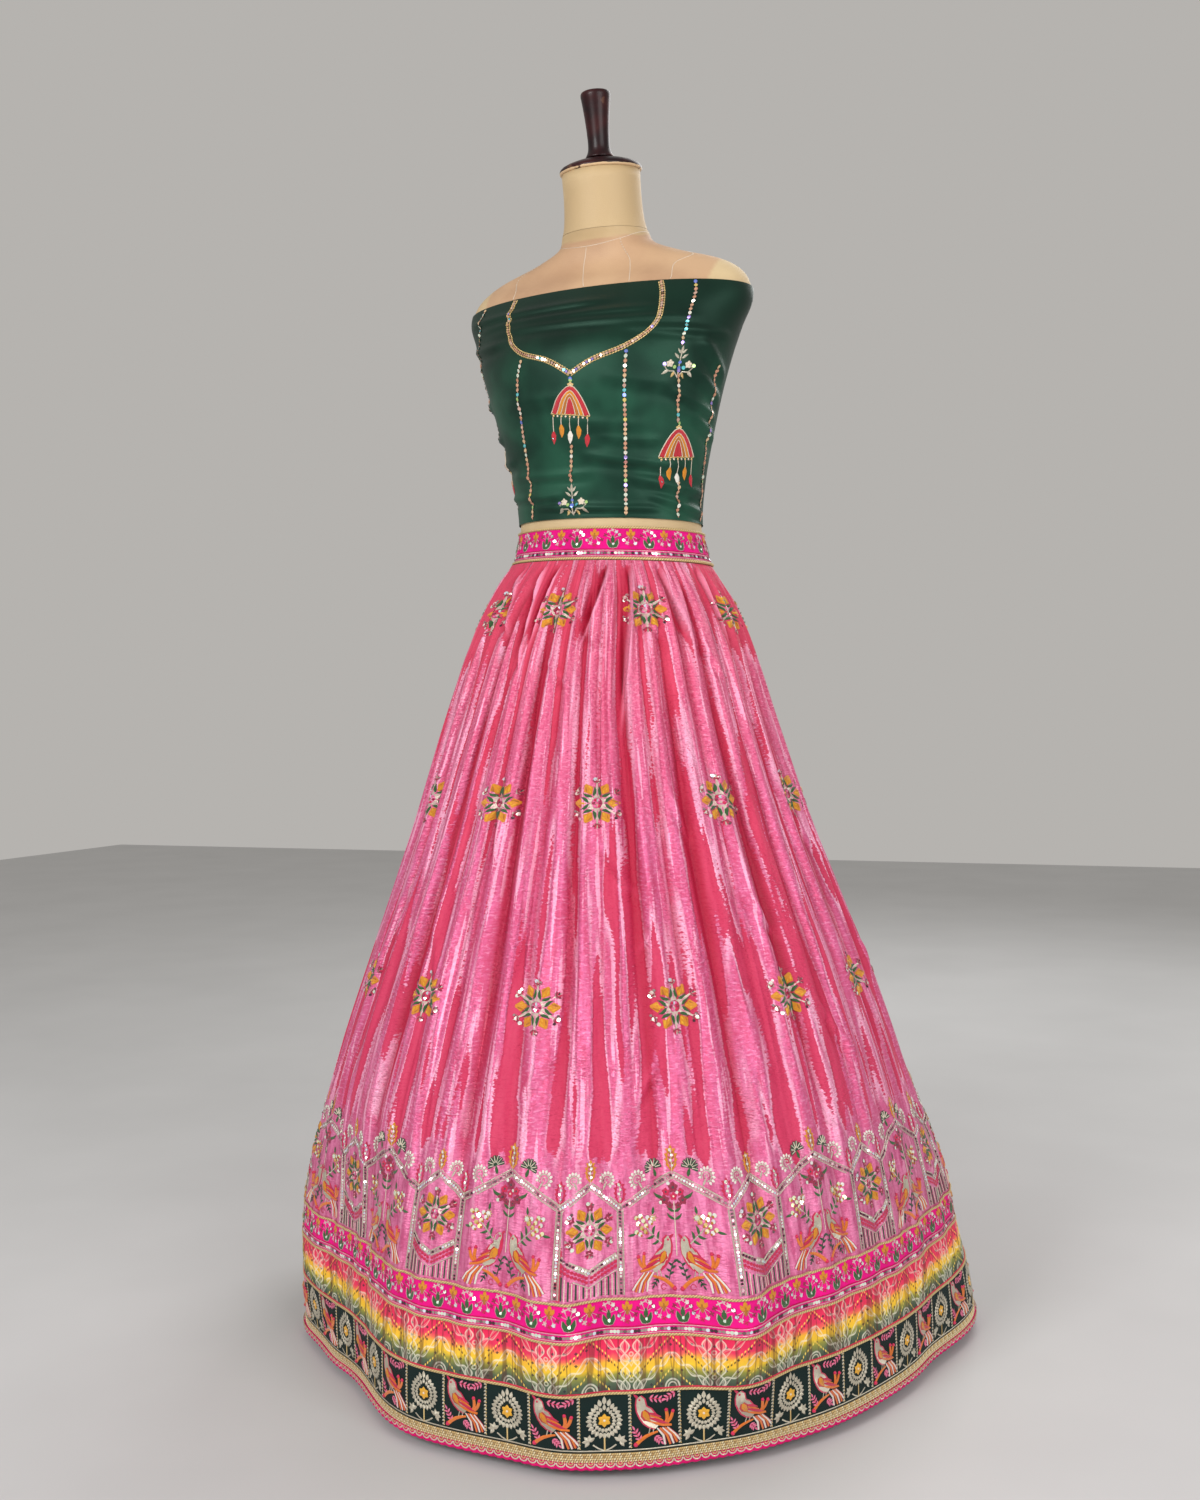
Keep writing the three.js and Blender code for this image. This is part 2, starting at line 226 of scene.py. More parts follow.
TROUGHS = np.array([row[0] for row in FOLDS] + [FOLDS[0][0] + 360], float)
DEPTHS = np.array([row[1:] for row in FOLDS] + [FOLDS[0][1:]], float)


def fold_place(angle):
    """Which fold an angle is in, and its share of the way from that fold's trough to the next."""
    turned_on = (angle - TROUGHS[0]) % 360 + TROUGHS[0]
    i = np.clip(np.searchsorted(TROUGHS, turned_on, side="right") - 1, 0, len(FOLDS) - 1)
    return i, (turned_on - TROUGHS[i]) / (TROUGHS[i + 1] - TROUGHS[i])


def fold_depth(i, z):
    """How deep the folds i are at heights z: each grows below the waistband and fades out at the border."""
    waist, middle, ribbon = DEPTHS[i, 0], DEPTHS[i, 1], DEPTHS[i, 2]
    depth = waist * smooth((SKIRT_TOP - z) / 53)
    spans = (
        (WAIST_FOLDS_Z, MIDDLE_FOLDS_Z, waist, middle),
        (MIDDLE_FOLDS_Z, RIBBON_FOLDS_Z, middle, ribbon),
        (RIBBON_FOLDS_Z, FOLDS_END_Z, ribbon, 0),
    )
    for top, foot, above, below in spans:
        depth = np.where(z < top, above + (below - above) * smooth((top - z) / (top - foot)), depth)
    return depth


# each fold's own phases
RIPPLES = rng.uniform(0, 2 * np.pi, (len(FOLDS), 4))
PLEATS = [
    # angle at the waist, angle and z of the lower end, depth: knife pleats that fan out
    (-66, -61, 880, 6.0),
    (-44, -27, 895, 7.5),
    (-24, -14, 840, 8.5),
    (-12, -15, 880, 8.5),
    (21, 8, 880, 8.5),
    (34, 25, 770, 8.5),
    (50, 57, 870, 6.0),
    (74, 76, 870, 5.5),
    (93, 97, 850, 3.5),
    (108, 106, 880, 6.0),
    (131, 137, 840, 7.0),
    (150, 149, 870, 6.5),
    (172, 176, 820, 7.5),
    (196, 193, 860, 6.5),
    (219, 223, 870, 6.0),
    (243, 239, 850, 7.0),
    (266, 270, 875, 3.5),
]
SKIRT_CREASES = [
    # from angle, from z, to angle, to z, depth, width
    (17, 668, 29, 584, 2.2, 4),
    (22, 632, 26, 596, 1.6, 3),
    (3, 372, 11, 436, 2.4, 5),
    (52, 612, 62, 530, 2.4, 5),
    (44, 372, 49, 326, 2.0, 4),
    (24, 368, 30, 436, 2.2, 4),
    (26, 528, 31, 572, 1.8, 4),
    (-23, 560, -17, 456, 2.6, 6),
    (38, 724, 44, 640, 2.0, 4),
    (-12, 700, -9, 628, 1.8, 4),
    (-4, 880, 8, 838, 2.4, 4),
    (10, 925, 22, 868, 2.6, 4),
    (38, 945, 47, 880, 2.2, 3.5),
    (60, 900, 69, 838, 2.2, 4),
    (-44, 610, -38, 520, 2.4, 6),
    (66, 470, 74, 390, 2.4, 6),
    (84, 700, 92, 610, 2.2, 5),
    (101, 520, 95, 430, 2.4, 6),
    (118, 860, 127, 800, 2.2, 4),
    (126, 610, 134, 520, 2.4, 5),
    (147, 420, 155, 340, 2.6, 6),
    (164, 740, 172, 650, 2.2, 5),
    (185, 560, 179, 470, 2.4, 5),
    (202, 880, 211, 820, 2.2, 4),
    (213, 400, 205, 320, 2.6, 6),
    (230, 690, 238, 600, 2.2, 5),
    (249, 500, 242, 410, 2.4, 6),
    (262, 800, 270, 720, 2.2, 5),
    (276, 430, 284, 350, 2.4, 6),
]
BLOUSE_CREASES = [
    # from angle, from z, to angle, to z, depth, width
    (-75, 1338, 20, 1332, 3.0, 5),
    (-62, 1324, 45, 1316, 2.6, 5),
    (-50, 1312, 62, 1303, 3.2, 6),
    (-85, 1304, -30, 1290, 3.0, 6),
    (12, 1294, 88, 1288, 2.6, 5),
    (58, 1284, 98, 1232, 3.2, 8),
    (52, 1250, 100, 1206, 2.8, 7),
    (44, 1216, 98, 1186, 2.8, 5),
    (62, 1190, 106, 1160, 2.6, 7),
    (-100, 1262, -66, 1212, 4.2, 7),
    (-98, 1200, -58, 1170, 3.8, 6),
    (-95, 1154, -44, 1138, 3.6, 6),
    (-62, 1124, 12, 1113, 2.8, 5),
    (-2, 1138, 72, 1122, 3.2, 6),
    (24, 1109, 98, 1094, 3.2, 6),
    (-84, 1099, -6, 1088, 3.4, 5),
    (-44, 1078, 58, 1071, 3.2, 4),
    (36, 1090, 100, 1070, 3.2, 5),
    (-48, 1217, 8, 1206, 1.6, 8),
    (12, 1232, 58, 1219, 1.8, 8),
    (-15, 1182, 42, 1170, 1.8, 7),
    (8, 1160, 52, 1152, 1.8, 5),
    (110, 1330, 170, 1322, 3.0, 6),
    (120, 1270, 185, 1256, 3.4, 7),
    (115, 1202, 190, 1188, 3.2, 7),
    (120, 1130, 180, 1118, 3.6, 6),
    (130, 1090, 200, 1084, 3.2, 6),
    (195, 1325, 262, 1334, 3.0, 6),
    (190, 1240, 258, 1262, 3.4, 7),
    (200, 1160, 262, 1172, 3.4, 7),
    (205, 1105, 265, 1098, 3.6, 6),
]


def folds(angle, z):
    """How far the folds, gathers and small ripples draw the cloth in."""
    i, share = fold_place(angle)
    sway = 0.07 * np.sin(z / 95 + RIPPLES[i, 0]) * np.sin(share * np.pi)
    share = np.clip(share + sway, 0, 1)
    depth = fold_depth(i, z) * (1 - share) + fold_depth(i + 1, z) * share
    turn = np.radians(angle)
    uneven = 0.45 + 0.55 * np.sin(turn * 7 + 0.8) ** 2
    gathers = GATHER_DEPTH * uneven * smooth((z - 840) / 130) * smooth((SKIRT_TOP - z) / 10)
    gather_wave = np.sin(turn * 59 + np.sin(z / 40) + 2 * np.sin(turn * 5)) ** 2
    ripples = RIPPLE_DEPTH * smooth((z - 150) / 60) * smooth((SKIRT_TOP - z) / 60)
    ripple_wave = np.sin(share * 4 * np.pi + RIPPLES[i, 1] + 1.3 * np.sin(z / 70 + RIPPLES[i, 2]))
    return depth * np.cos(share * np.pi) ** 2 + gathers * gather_wave + ripples * ripple_wave


def pleat_edges(angle, z, radius):
    """For each knife pleat, the millimetres past its edge, and its depth at that height."""
    for waist_angle, end_angle, end_z, depth in PLEATS:
        down = (SKIRT_TOP - z) / (SKIRT_TOP - end_z)
        edge = waist_angle + (end_angle - waist_angle) * down
        away = np.radians(turned_from(angle, edge)) * radius
        yield away, depth * smooth((1 - down) * 2.0) * smooth((SKIRT_TOP - z) / 24)


def pleats(angle, z, radius):
    """The dip before each knife pleat's edge, and the edge's own low ridge."""
    out = np.zeros_like(angle)
    for away, depth in pleat_edges(angle, z, radius):
        dip = smooth(0.5 - away / 2.0) * np.clip(1 + away / 16, 0, 1) ** 2
        ridge = np.exp(-((np.maximum(away, 0) / 6) ** 2)) * smooth(away / 2.0 + 0.5)
        out += 1.5 * depth * (dip - 0.35 * ridge)
    return out


def pleat_edge_highlight(angle, z, radius):
    """Painted highlight: 1 along the crest of each deep knife pleat."""
    edges = pleat_edges(angle, z, radius)
    return sum(depth / DEEP_PLEAT * np.exp(-(((away - 2) / 2.6) ** 2)) for away, depth in edges)


def pleat_shade(angle, z, radius):
    """Painted shade: 1 in the dip of each deep knife pleat, and less away from it."""
    edges = pleat_edges(angle, z, radius)
    dips = ((depth, smooth(0.8 - away / 2) * np.exp(-(((away + 3) / 10) ** 2))) for away, depth in edges)
    return sum(depth / DEEP_PLEAT * dip for depth, dip in dips)


def smooth_cloth(angle, z):
    """1 where the cloth is stretched smooth, in some parts of the upper skirt."""
    return smooth(0.5 + 1.1 * np.sin(np.radians(2 * angle + 210))) * smooth((z - 850) / 80)


def creases(table, angle, z, radius, sag=0.0):
    """A soft ridge along each line of a table, with a trough beside it."""
    out = np.zeros_like(angle)
    for start_angle, start_z, end_angle, end_z, depth, width in table:
        x = np.radians(turned_from(angle, start_angle)) * radius
        y = z - start_z
        run, rise = np.radians(end_angle - start_angle) * radius, end_z - start_z
        length = np.hypot(run, rise)
        along = (x * run + y * rise) / length**2
        away = (y * run - x * rise) / length + sag * np.sin(np.pi * np.clip(along, 0, 1))
        taper = smooth(along * 4) * smooth((1 - along) * 4)
        ridge = np.exp(-((away / width) ** 2)) - 0.6 * np.exp(-((away / width + 1.7) ** 2))
        out += depth * taper * ridge
    return out


def skirt_relief(angle, z):
    """How far the skirt's folds, pleats and creases stand out, or in where it is negative."""
    side, front, _ = np.moveaxis(curve(SKIRT_PROFILE, z), -1, 0)
    mean = (side + front) / 2
    return 1.4 * creases(SKIRT_CREASES, angle, z, mean) - pleats(angle, z, mean) - folds(angle, z)


def skirt(angle, z):
    """The skirt's outer face."""
    side, front, lean = np.moveaxis(curve(SKIRT_PROFILE, z), -1, 0)
    a = np.radians(angle)
    radius = side * front / np.hypot(front * np.sin(a), side * np.cos(a))
    radius = radius + hem_waves(angle, z) + skirt_relief(angle, z)
    return tilted(np.stack([radius * np.sin(a) - lean, -radius * np.cos(a), z + 0 * a], -1))


def form(angle, z, push=0.0):
    """The dress form, or cloth that stands out from it by a push. The angle is the ellipse's own."""
    side, depth, back, lean = np.moveaxis(curve(FORM_SECTIONS, z), -1, 0)
    a = np.radians(angle)
    y = back - (depth + push) * np.cos(a)
    return np.stack([(side + push) * np.sin(a), y, z + y * np.tan(np.radians(lean))], -1)


def waist(angle, z):
    """The face that the waistband lies on."""
    low = tilted(form(angle, z))[..., 2]
    return form(angle, low, WAIST_PUSH)


def blouse(angle, z):
    """The wrapped cloth's outer face. Its outer end, past LAP_START + 360, lies on its inner end."""
    lap = LAP_HEIGHT * smooth((angle - LAP_START - 360) / LAP_RISE + 1)
    low = tilted(form(angle, z))[..., 2]
    relief = creases(BLOUSE_CREASES, angle, z, CHEST_RADIUS, sag=4)
    return form(angle, low, BLOUSE_PUSH + lap + relief)


def stand_out(surface, angle, z, height):
    """Points that stand out from a surface by a height."""
    here = surface(angle, z)
    across = surface(angle + 0.1, z) - here
    upward = surface(angle, z + 0.6) - here
    normal = np.cross(across, upward)
    normal /= np.linalg.norm(normal, axis=-1, keepdims=True)
    return here + normal * np.asarray(height)[..., None]


# ---- Mesh helpers ------------------------------------------------------------------------------


def linked(name, data):
    """An object of its own in the scene."""
    made = bpy.data.objects.new(name, data)
    bpy.context.scene.collection.objects.link(made)
    return made


def new_object(name, points, faces, materials, replaces=(), slot=None):
    """A smooth-shaded mesh from points in mm and lists of faces, riding on the one body."""
    mesh = bpy.data.meshes.new(name)
    mesh.from_pydata((points / 1000).tolist(), [], faces)
    mesh.polygons.foreach_set("use_smooth", [True] * len(mesh.polygons))
    for material in materials:
        mesh.materials.append(material)
    piece = linked(name, mesh)
    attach(piece, "root")
    if replaces:
        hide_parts(*replaces)
    return piece


def grid_faces(rows, columns, closed=False):
    """Quads of a grid of rows from the lowest up, listed round from left to right."""
    index = np.arange(rows * columns).reshape(rows, columns)
    right = np.roll(index, -1, axis=1)
    if not closed:
        index, right = index[:, :-1], right[:, :-1]
    quads = np.stack([index[:-1], right[:-1], right[1:], index[1:]], -1)
    return quads.reshape(-1, 4)


def set_uv(mesh, uv):
    """Gives every face corner its vertex's place on the cloth."""
    layer = mesh.uv_layers.new(name="Cloth")
    corner = np.zeros(len(mesh.loops), int)
    mesh.loops.foreach_get("vertex_index", corner)
    layer.data.foreach_set("uv", uv[corner].ravel())


def set_values(piece, name, values):
    """A number at every point of a piece, for its material to read."""
    piece.data.attributes.new(name, "FLOAT", "POINT").data.foreach_set("value", np.ravel(values))


def cloth(name, surface, angles, heights, material, push=0.0, **words):
    """A thin sheet, pushed out from a surface. Its UV is in metres: round the hem, and up."""
    a, z = np.meshgrid(np.asarray(angles, float), np.asarray(heights, float))
    points = stand_out(surface, a, z, push(a, z) if callable(push) else np.full(a.shape, push))
    piece = new_object(name, points.reshape(-1, 3), grid_faces(*a.shape).tolist(), [material], **words)
    set_uv(piece.data, np.stack([np.radians(a) * HEM_RADIUS, z / 1000], -1).reshape(-1, 2))
    return piece


def tube(name, centres, radius, material, **words):
    """A cord round a closed path of centres."""
    ahead = np.roll(centres, -1, axis=0) - np.roll(centres, 1, axis=0)
    ahead /= np.linalg.norm(ahead, axis=1, keepdims=True)
    level = np.cross(ahead, (0.0, 0.0, 1.0))
    level /= np.linalg.norm(level, axis=1, keepdims=True)
    upward = np.cross(level, ahead)
    turn = np.linspace(0, 2 * np.pi, CORD_SIDES, endpoint=False)[:, None, None]
    radius = np.broadcast_to(radius, len(centres))[None, :, None]
    rings = centres[None] + radius * (np.cos(turn) * upward[None] + np.sin(turn) * level[None])
    rings = np.concatenate([rings, rings[:1]])
    columns = np.concatenate([rings, rings[:, :1]], axis=1)
    faces = grid_faces(*columns.shape[:2])[:, ::-1].tolist()
    piece = new_object(name, columns.reshape(-1, 3), faces, [material], **words)
    along = np.linalg.norm(np.diff(columns[0], axis=0), axis=1).cumsum() / 1000
    u = np.tile(np.concatenate([[0], along]), CORD_SIDES + 1)
    v = np.repeat(np.linspace(0, 1, CORD_SIDES + 1), columns.shape[1])
    set_uv(piece.data, np.stack([u, v], -1))
    return piece


def turned(name, profile, matrix, material, steps=TURNED_STEPS, **words):
    """A turned solid from its (radius, height) profile."""
    radius, height = np.array(profile, float).T[..., None]
    turn = np.linspace(0, 2 * np.pi, steps, endpoint=False)
    points = np.stack([radius * np.sin(turn), -radius * np.cos(turn), height + 0 * turn], -1)
    points = points.reshape(-1, 3) @ np.array(matrix.to_3x3()).T + np.array(matrix.translation)
    faces = grid_faces(len(profile), steps, closed=True).tolist()
    return new_object(name, points, faces, [material], **words)


# ---- Materials ---------------------------------------------------------------------------------


def feed(tree, socket, value):
    """Links a Field to a socket, or sets the socket to a plain value."""
    if isinstance(value, Field):
        tree.links.new(value.socket, socket)
    else:
        socket.default_value = value


class Field:
    """A number that varies over a surface. Its arithmetic adds Math nodes."""

    def __init__(self, tree, socket):
        self.tree, self.socket = tree, socket

    def math(self, operation, *others):
        node = self.tree.nodes.new("ShaderNodeMath")
        node.operation = operation
        for target, value in zip(node.inputs, (self, *others)):
            feed(self.tree, target, value)
        return Field(self.tree, node.outputs[0])

    def __add__(self, other):
        return self.math("ADD", other)

    def __sub__(self, other):
        return self.math("SUBTRACT", other)

    def __mul__(self, other):
        return self.math("MULTIPLY", other)

    def __truediv__(self, other):
        return self.math("DIVIDE", other)

    def __mod__(self, other):
        return self.math("FLOORED_MODULO", other)

    def abs(self):
        return self.math("ABSOLUTE")

    def sin(self):
        return self.math("SINE")

    def root(self):
        return self.math("SQRT")

    def most(self, other):
        return self.math("MAXIMUM", other)

    def ramp(self, low, high):
        """0 at low and 1 at high, smooth between them."""
        node = self.tree.nodes.new("ShaderNodeMapRange")
        node.interpolation_type = "SMOOTHSTEP"
        for socket, value in (("Value", self), ("From Min", low), ("From Max", high)):
            feed(self.tree, node.inputs[socket], value)
        return Field(self.tree, node.outputs["Result"])


class Finish:
    """A Principled material and the nodes that feed it."""

    def __init__(self, name, colour, roughness, **sockets):
        self.material = bpy.data.materials.new(name)
        self.material.use_nodes = True
        self.tree = self.material.node_tree
        self.shader = self.tree.nodes["Principled BSDF"]
        self.shader.inputs["Base Color"].default_value = (*colour, 1)
        self.shader.inputs["Roughness"].default_value = roughness
        for socket, value in sockets.items():
            self.shader.inputs[socket.replace("_", " ")].default_value = value

    def node(self, kind, **values):
        made = self.tree.nodes.new(kind)
        for socket, value in values.items():
            feed(self.tree, made.inputs[socket.replace("_", " ")], value)
        return made

    def uv(self):
        """The place on the cloth, in metres round and up."""
        flat = Field(self.tree, self.node("ShaderNodeUVMap").outputs[0])
        parts = self.node("ShaderNodeSeparateXYZ", Vector=flat)
        return Field(self.tree, parts.outputs[0]), Field(self.tree, parts.outputs[1])

    def place(self):
        """The place in the object, in metres."""
        return Field(self.tree, self.node("ShaderNodeTexCoord").outputs["Object"])

    def attribute(self, name, output="Fac"):
        """A value or a colour that the mesh holds."""
        node = self.tree.nodes.new("ShaderNodeAttribute")
        node.attribute_name = name
        return Field(self.tree, node.outputs[output])

    def noise(self, vector, scale, detail=2.0, roughness=0.5):
        values = {"Vector": vector, "Scale": scale, "Detail": detail, "Roughness": roughness}
        return Field(self.tree, self.node("ShaderNodeTexNoise", **values).outputs[0])

    def stretched(self, x, y, seed=0.0, detail=2.0, roughness=0.5):
        """Noise whose grain is as long and as wide as x and y are scaled."""
        vector = Field(self.tree, self.node("ShaderNodeCombineXYZ", X=x, Y=y, Z=seed).outputs[0])
        return self.noise(vector, 1.0, detail, roughness)

    def blend(self, share, first, second, mode="MIX"):
        """A colour between two, each a tuple or a Field."""
        node = self.tree.nodes.new("ShaderNodeMix")
        node.data_type, node.blend_type = "RGBA", mode
        feed(self.tree, node.inputs[0], share)
        for slot, value in ((6, first), (7, second)):
            feed(self.tree, node.inputs[slot], value if isinstance(value, Field) else (*value, 1))
        return Field(self.tree, node.outputs[2])

    def layers(self, colour, *coats):
        """A colour under coats, each a share and a colour."""
        for share, coat in coats:
            colour = self.blend(share, colour, coat)
        return colour

    def bands(self, share, stops):
        """A colour that changes along a share, from a table of (position, colour)."""
        node = self.node("ShaderNodeValToRGB", Fac=share)
        ramp = node.color_ramp
        while len(ramp.elements) < len(stops):
            ramp.elements.new(0.5)
        for element, (position, colour) in zip(ramp.elements, stops):
            element.position, element.color = position, (*colour, 1)
        return Field(self.tree, node.outputs[0])

    def set(self, socket, value):
        self.tree.links.new(value.socket, self.shader.inputs[socket])

    def bump(self, height, distance):
        """Relief: a height from 0 to 1, and how deep that is in metres."""
        node = self.node("ShaderNodeBump", Height=height, Distance=distance, Strength=1.0)
        normal = self.shader.inputs["Normal"]
        if normal.links:
            self.tree.links.new(normal.links[0].from_socket, node.inputs["Normal"])
        self.tree.links.new(node.outputs[0], normal)

    def weave(self, pitch, depth):
        """Fine threads both ways."""
        u, v = self.uv()
        over = (u * (2 * math.pi / pitch)).sin() * (v * (2 * math.pi / pitch)).sin()
        self.bump(over * 0.5 + 0.5, depth)


def linear(red, green, blue):
    """A screen colour, 0 to 255, as the linear colour that Blender uses."""
    screen = (red / 255, green / 255, blue / 255)
    return tuple(c / 12.92 if c <= 0.04045 else ((c + 0.055) / 1.055) ** 2.4 for c in screen)


def linears(*colours):
    """Several screen colours, as linear ones."""
    return [linear(*colour) for colour in colours]


def darker(colour, share):
    """A share of a colour's light."""
    return tuple(c * share for c in colour)


def tissue():
    """Crushed metallic tissue: matt rose strips between crinkled pale zones of painted sheen, with ragged
    painted glints at their edges, and painted shade in the folds' valleys and pleat dips.
    """
    finish = Finish("pink_tissue", linear(222, 70, 110), 0.5, Specular_IOR_Level=0.3)
    u, v = finish.uv()
    # where on the skirt: inside the border's frames, lower down, near the waistband, higher up
    inside, low = v.ramp(0.345, 0.29), v.ramp(0.90, 0.45)
    near_waist, high = v.ramp(0.80, 0.97), v.ramp(0.6, 0.95)
    fold, pleat = finish.attribute("Fold"), finish.attribute("PleatShade")
    # the folds' crests, where the painted sheen gathers
    crest = (fold * math.pi).sin().abs()

    # noises drawn out along the folds, and two fine ones drawn out across them
    bend = finish.stretched(fold * 2.0, v * 8, 31.0) * 0.5 - 0.25
    zones = finish.stretched(fold * 1.3 + bend, v * 2.6, detail=1.0)
    streaks = finish.stretched(fold * 3.4 + bend, v * 5.5, 7.0, 1.0)
    threads = finish.stretched(fold * 6.0 + bend, v * 7.0, 11.0)
    sides = finish.stretched(fold * 2.1, v * 2.4, 21.0).ramp(0.42, 0.56)
    tone = finish.stretched(fold * 5.0, v * 16, 3.0, 3.0, 0.6)
    wrinkles = finish.stretched(u * 130 + bend, v * 26, 5.0, 3.0, 0.6)
    hatch = finish.stretched(u * 150, v * 430, roughness=0.6)
    crinkle = finish.stretched(u * 85, v * 320, detail=3.0, roughness=0.65)

    # painted sheen: foil shows where the level is above 0, more on the folds' crests; painted glints along
    # its edge, and on threads and sparks in it
    wide = inside * 0.34 + low * 0.02 - pleat * 0.3 - finish.attribute("Smooth") * 0.3 - 1.12
    streaked = (streaks - 0.5) * (low * 0.45 - near_waist * 0.3 + 0.6) + 0.45
    level = crest * (low * -0.15 + 0.3) + zones * 0.95 + streaked + hatch * 0.17 + crinkle * 0.08 + wide
    foil_sheen = level.ramp(0.0, 0.03)
    rim = foil_sheen * level.ramp(0.14, 0.05) * sides * (hatch.ramp(0.34, 0.52) * 0.6 + 0.4)
    glint = (threads + hatch * 0.22).ramp(0.68, 0.74) * foil_sheen
    sparks = (hatch * 0.5 + crinkle * 0.5).ramp(0.53, 0.60) * foil_sheen
    mottle = (tone * 0.45 + crinkle * 0.35 + hatch * 0.2).ramp(0.38, 0.62)

    # colours: the matt ground, then the foil's painted sheen, its painted glints, painted shade in the
    # valleys and pleat dips, and painted highlights on the pleats' edges
    matt = finish.blend(tone.ramp(0.3, 0.7), linear(204, 46, 82), linear(220, 68, 102))
    matt = finish.layers(matt, (near_waist * 0.6, linear(208, 70, 100)), (low * 0.5, linear(190, 48, 92)))
    bright = finish.blend(high, linear(222, 108, 156), linear(236, 122, 152))
    pale = finish.blend(mottle, linear(208, 80, 122), bright)
    calm = finish.blend(wrinkles.ramp(0.36, 0.62), linear(184, 78, 122), linear(220, 124, 166))
    colour = finish.layers(
        matt,
        (foil_sheen, finish.blend(inside * 0.85, pale, calm)),
        (rim.most(glint * 0.8).most(sparks * 0.3) * (inside * -0.5 + 0.9), linear(252, 182, 212)),
        # painted shade in the folds' valleys and the pleats' dips
        (finish.attribute("ValleyShade").most(pleat * 0.9), linear(172, 20, 56)),
        # painted highlight on the pleats' edges
        (finish.attribute("PleatHighlight") * 0.85, linear(250, 158, 190)),
    )
    finish.set("Base Color", colour)
    # the foil is also smoother and more metallic, beside its painted sheen
    finish.set("Roughness", foil_sheen * -0.16 + 0.54)
    finish.set("Metallic", foil_sheen * 0.3)
    finish.bump(crinkle, 0.0016)
    finish.bump(hatch, 0.0004)
    finish.bump(level.ramp(-0.15, 0.25), 0.0022)
    return finish.material


def plain_cloth(name, colour, roughness):
    """Woven cloth with slight colour variation."""
    finish = Finish(name, colour, roughness, Specular_IOR_Level=0.25)
    mottle = finish.noise(finish.place(), 38.0, 3.0)
    finish.set("Base Color", finish.blend(mottle.ramp(0.3, 0.7), darker(colour, 0.8), colour))
    finish.weave(0.0007, 0.0002)
    return finish.material


def satin():
    """Dark green satin: a smooth, shiny face with fine threads, and painted shade towards its top."""
    finish = Finish(
        "green_satin", linear(14, 54, 40), 0.36,
        Anisotropic=0.4, Specular_IOR_Level=0.34, Specular_Tint=(0.4, 0.8, 0.6, 1),
    )
    u, v = finish.uv()
    threads = finish.stretched(u * 60, v * 2600)
    soft = finish.noise(finish.place(), 16.0, 2.0)
    green = finish.blend(soft.ramp(0.3, 0.7), linear(15, 41, 32), linear(32, 73, 56))
    # painted shade: darker towards the top of the cloth, above the bust
    finish.set("Base Color", finish.blend(v.ramp(1.20, 1.31) * 0.85, green, linear(9, 25, 19)))
    finish.set("Roughness", threads * 0.12 + 0.37)
    finish.bump(threads, 0.00012)
    return finish.material


def tie_dye():
    """Printed band, dyed from pink through yellow to dark green, with painted shade in the gathers' pinches.
    """
    finish = Finish("tie_dye", linear(230, 160, 60), 0.7)
    u, v = finish.uv()
    x = u * 1000
    y = v * 1000 - GREEN_TOP
    spread = finish.stretched(u * 60, v * 30, detail=3.0) * 16 - 8
    share = (y + spread * 0.8) / (TIE_DYE_TOP - GREEN_TOP)
    dye = finish.bands(
        share,
        [
            (0.0, linear(46, 62, 52)),
            (0.18, linear(80, 98, 74)),
            (0.32, linear(150, 148, 58)),
            (0.42, linear(246, 200, 44)),
            (0.56, linear(254, 190, 50)),
            (0.64, linear(248, 112, 88)),
            (0.72, linear(240, 48, 92)),
            (1.0, linear(232, 22, 80)),
        ],
    )
    pitch = 86.0
    across = ((x % pitch) - pitch / 2).abs()

    def rafter(apex):
        """How far, up the band, a place is above an inverted V."""
        return y - apex + across * 0.92

    def line(distance, half_width):
        return (distance.abs() * -1 + half_width).ramp(-0.5, 0.4)

    def chain(away, along):
        """A string of linked ovals: how far a place is from its middle line, and how far along."""
        swell = (along * 0.235).sin().abs()
        return line(away.abs() - swell * 4.4, 0.8).most(line(away.abs() - swell * 2.2, 0.4) * 0.6)

    def radius(x, y):
        return (x * x + y * y).root()

    dots = (x * 2.0).sin().ramp(-0.3, 0.3)
    dark_rafter = line(rafter(52.0), 1.0) * dots
    gold_rafter = line(rafter(55.0), 0.9).most(line(rafter(22.0), 1.1)) * dots
    clusters = ((((x % 11) - 5.5).abs() + ((y % 13) - 6.5).abs()) * -1 + 1.7).ramp(-0.3, 0.3)
    beside = across * -1 + pitch / 2 - 6.5
    dome = radius(across, y - 3.0)
    circle = radius((y % 26) - 13, across - pitch / 2)
    white = chain(rafter(37.0), across).most(chain(beside, y))
    white = white.most(line(dome - 7.5, 0.8)).most(line(dome - 4.5, 0.6))
    white = white.most(chain(rafter(69.0), across) * 0.7).most(line(circle - 2.0, 0.6) * 0.8)
    # painted shade: thin dark lines where the gathers pinch
    pinch_shade = (finish.stretched(u * 80, v * 5) - 0.5).abs().ramp(0.055, 0.0)
    colour = finish.layers(
        dye,
        (clusters * 0.85, linear(44, 34, 48)),
        (dark_rafter * 0.9, linear(50, 48, 34)),
        (gold_rafter, linear(252, 216, 96)),
        (white * 0.58, linear(250, 244, 222)),
        (pinch_shade * 0.62, linear(82, 30, 26)),
    )
    finish.set("Base Color", colour)
    finish.weave(0.0008, 0.0002)
    return finish.material


def cord_finish(name, colour, pitch=0.0035, roughness=0.42, metallic=0.35):
    """Twisted cord, with painted shade in the grooves between its plies."""
    finish = Finish(name, colour, roughness, Metallic=metallic)
    u, v = finish.uv()
    ply = ((u * (2 * math.pi / pitch)) + v * (4 * math.pi)).sin() * 0.5 + 0.5
    # painted shade: darker in the grooves between the plies
    finish.set("Base Color", finish.blend(ply, darker(colour, 0.55), colour))
    finish.bump(ply, 0.0009)
    return finish.material


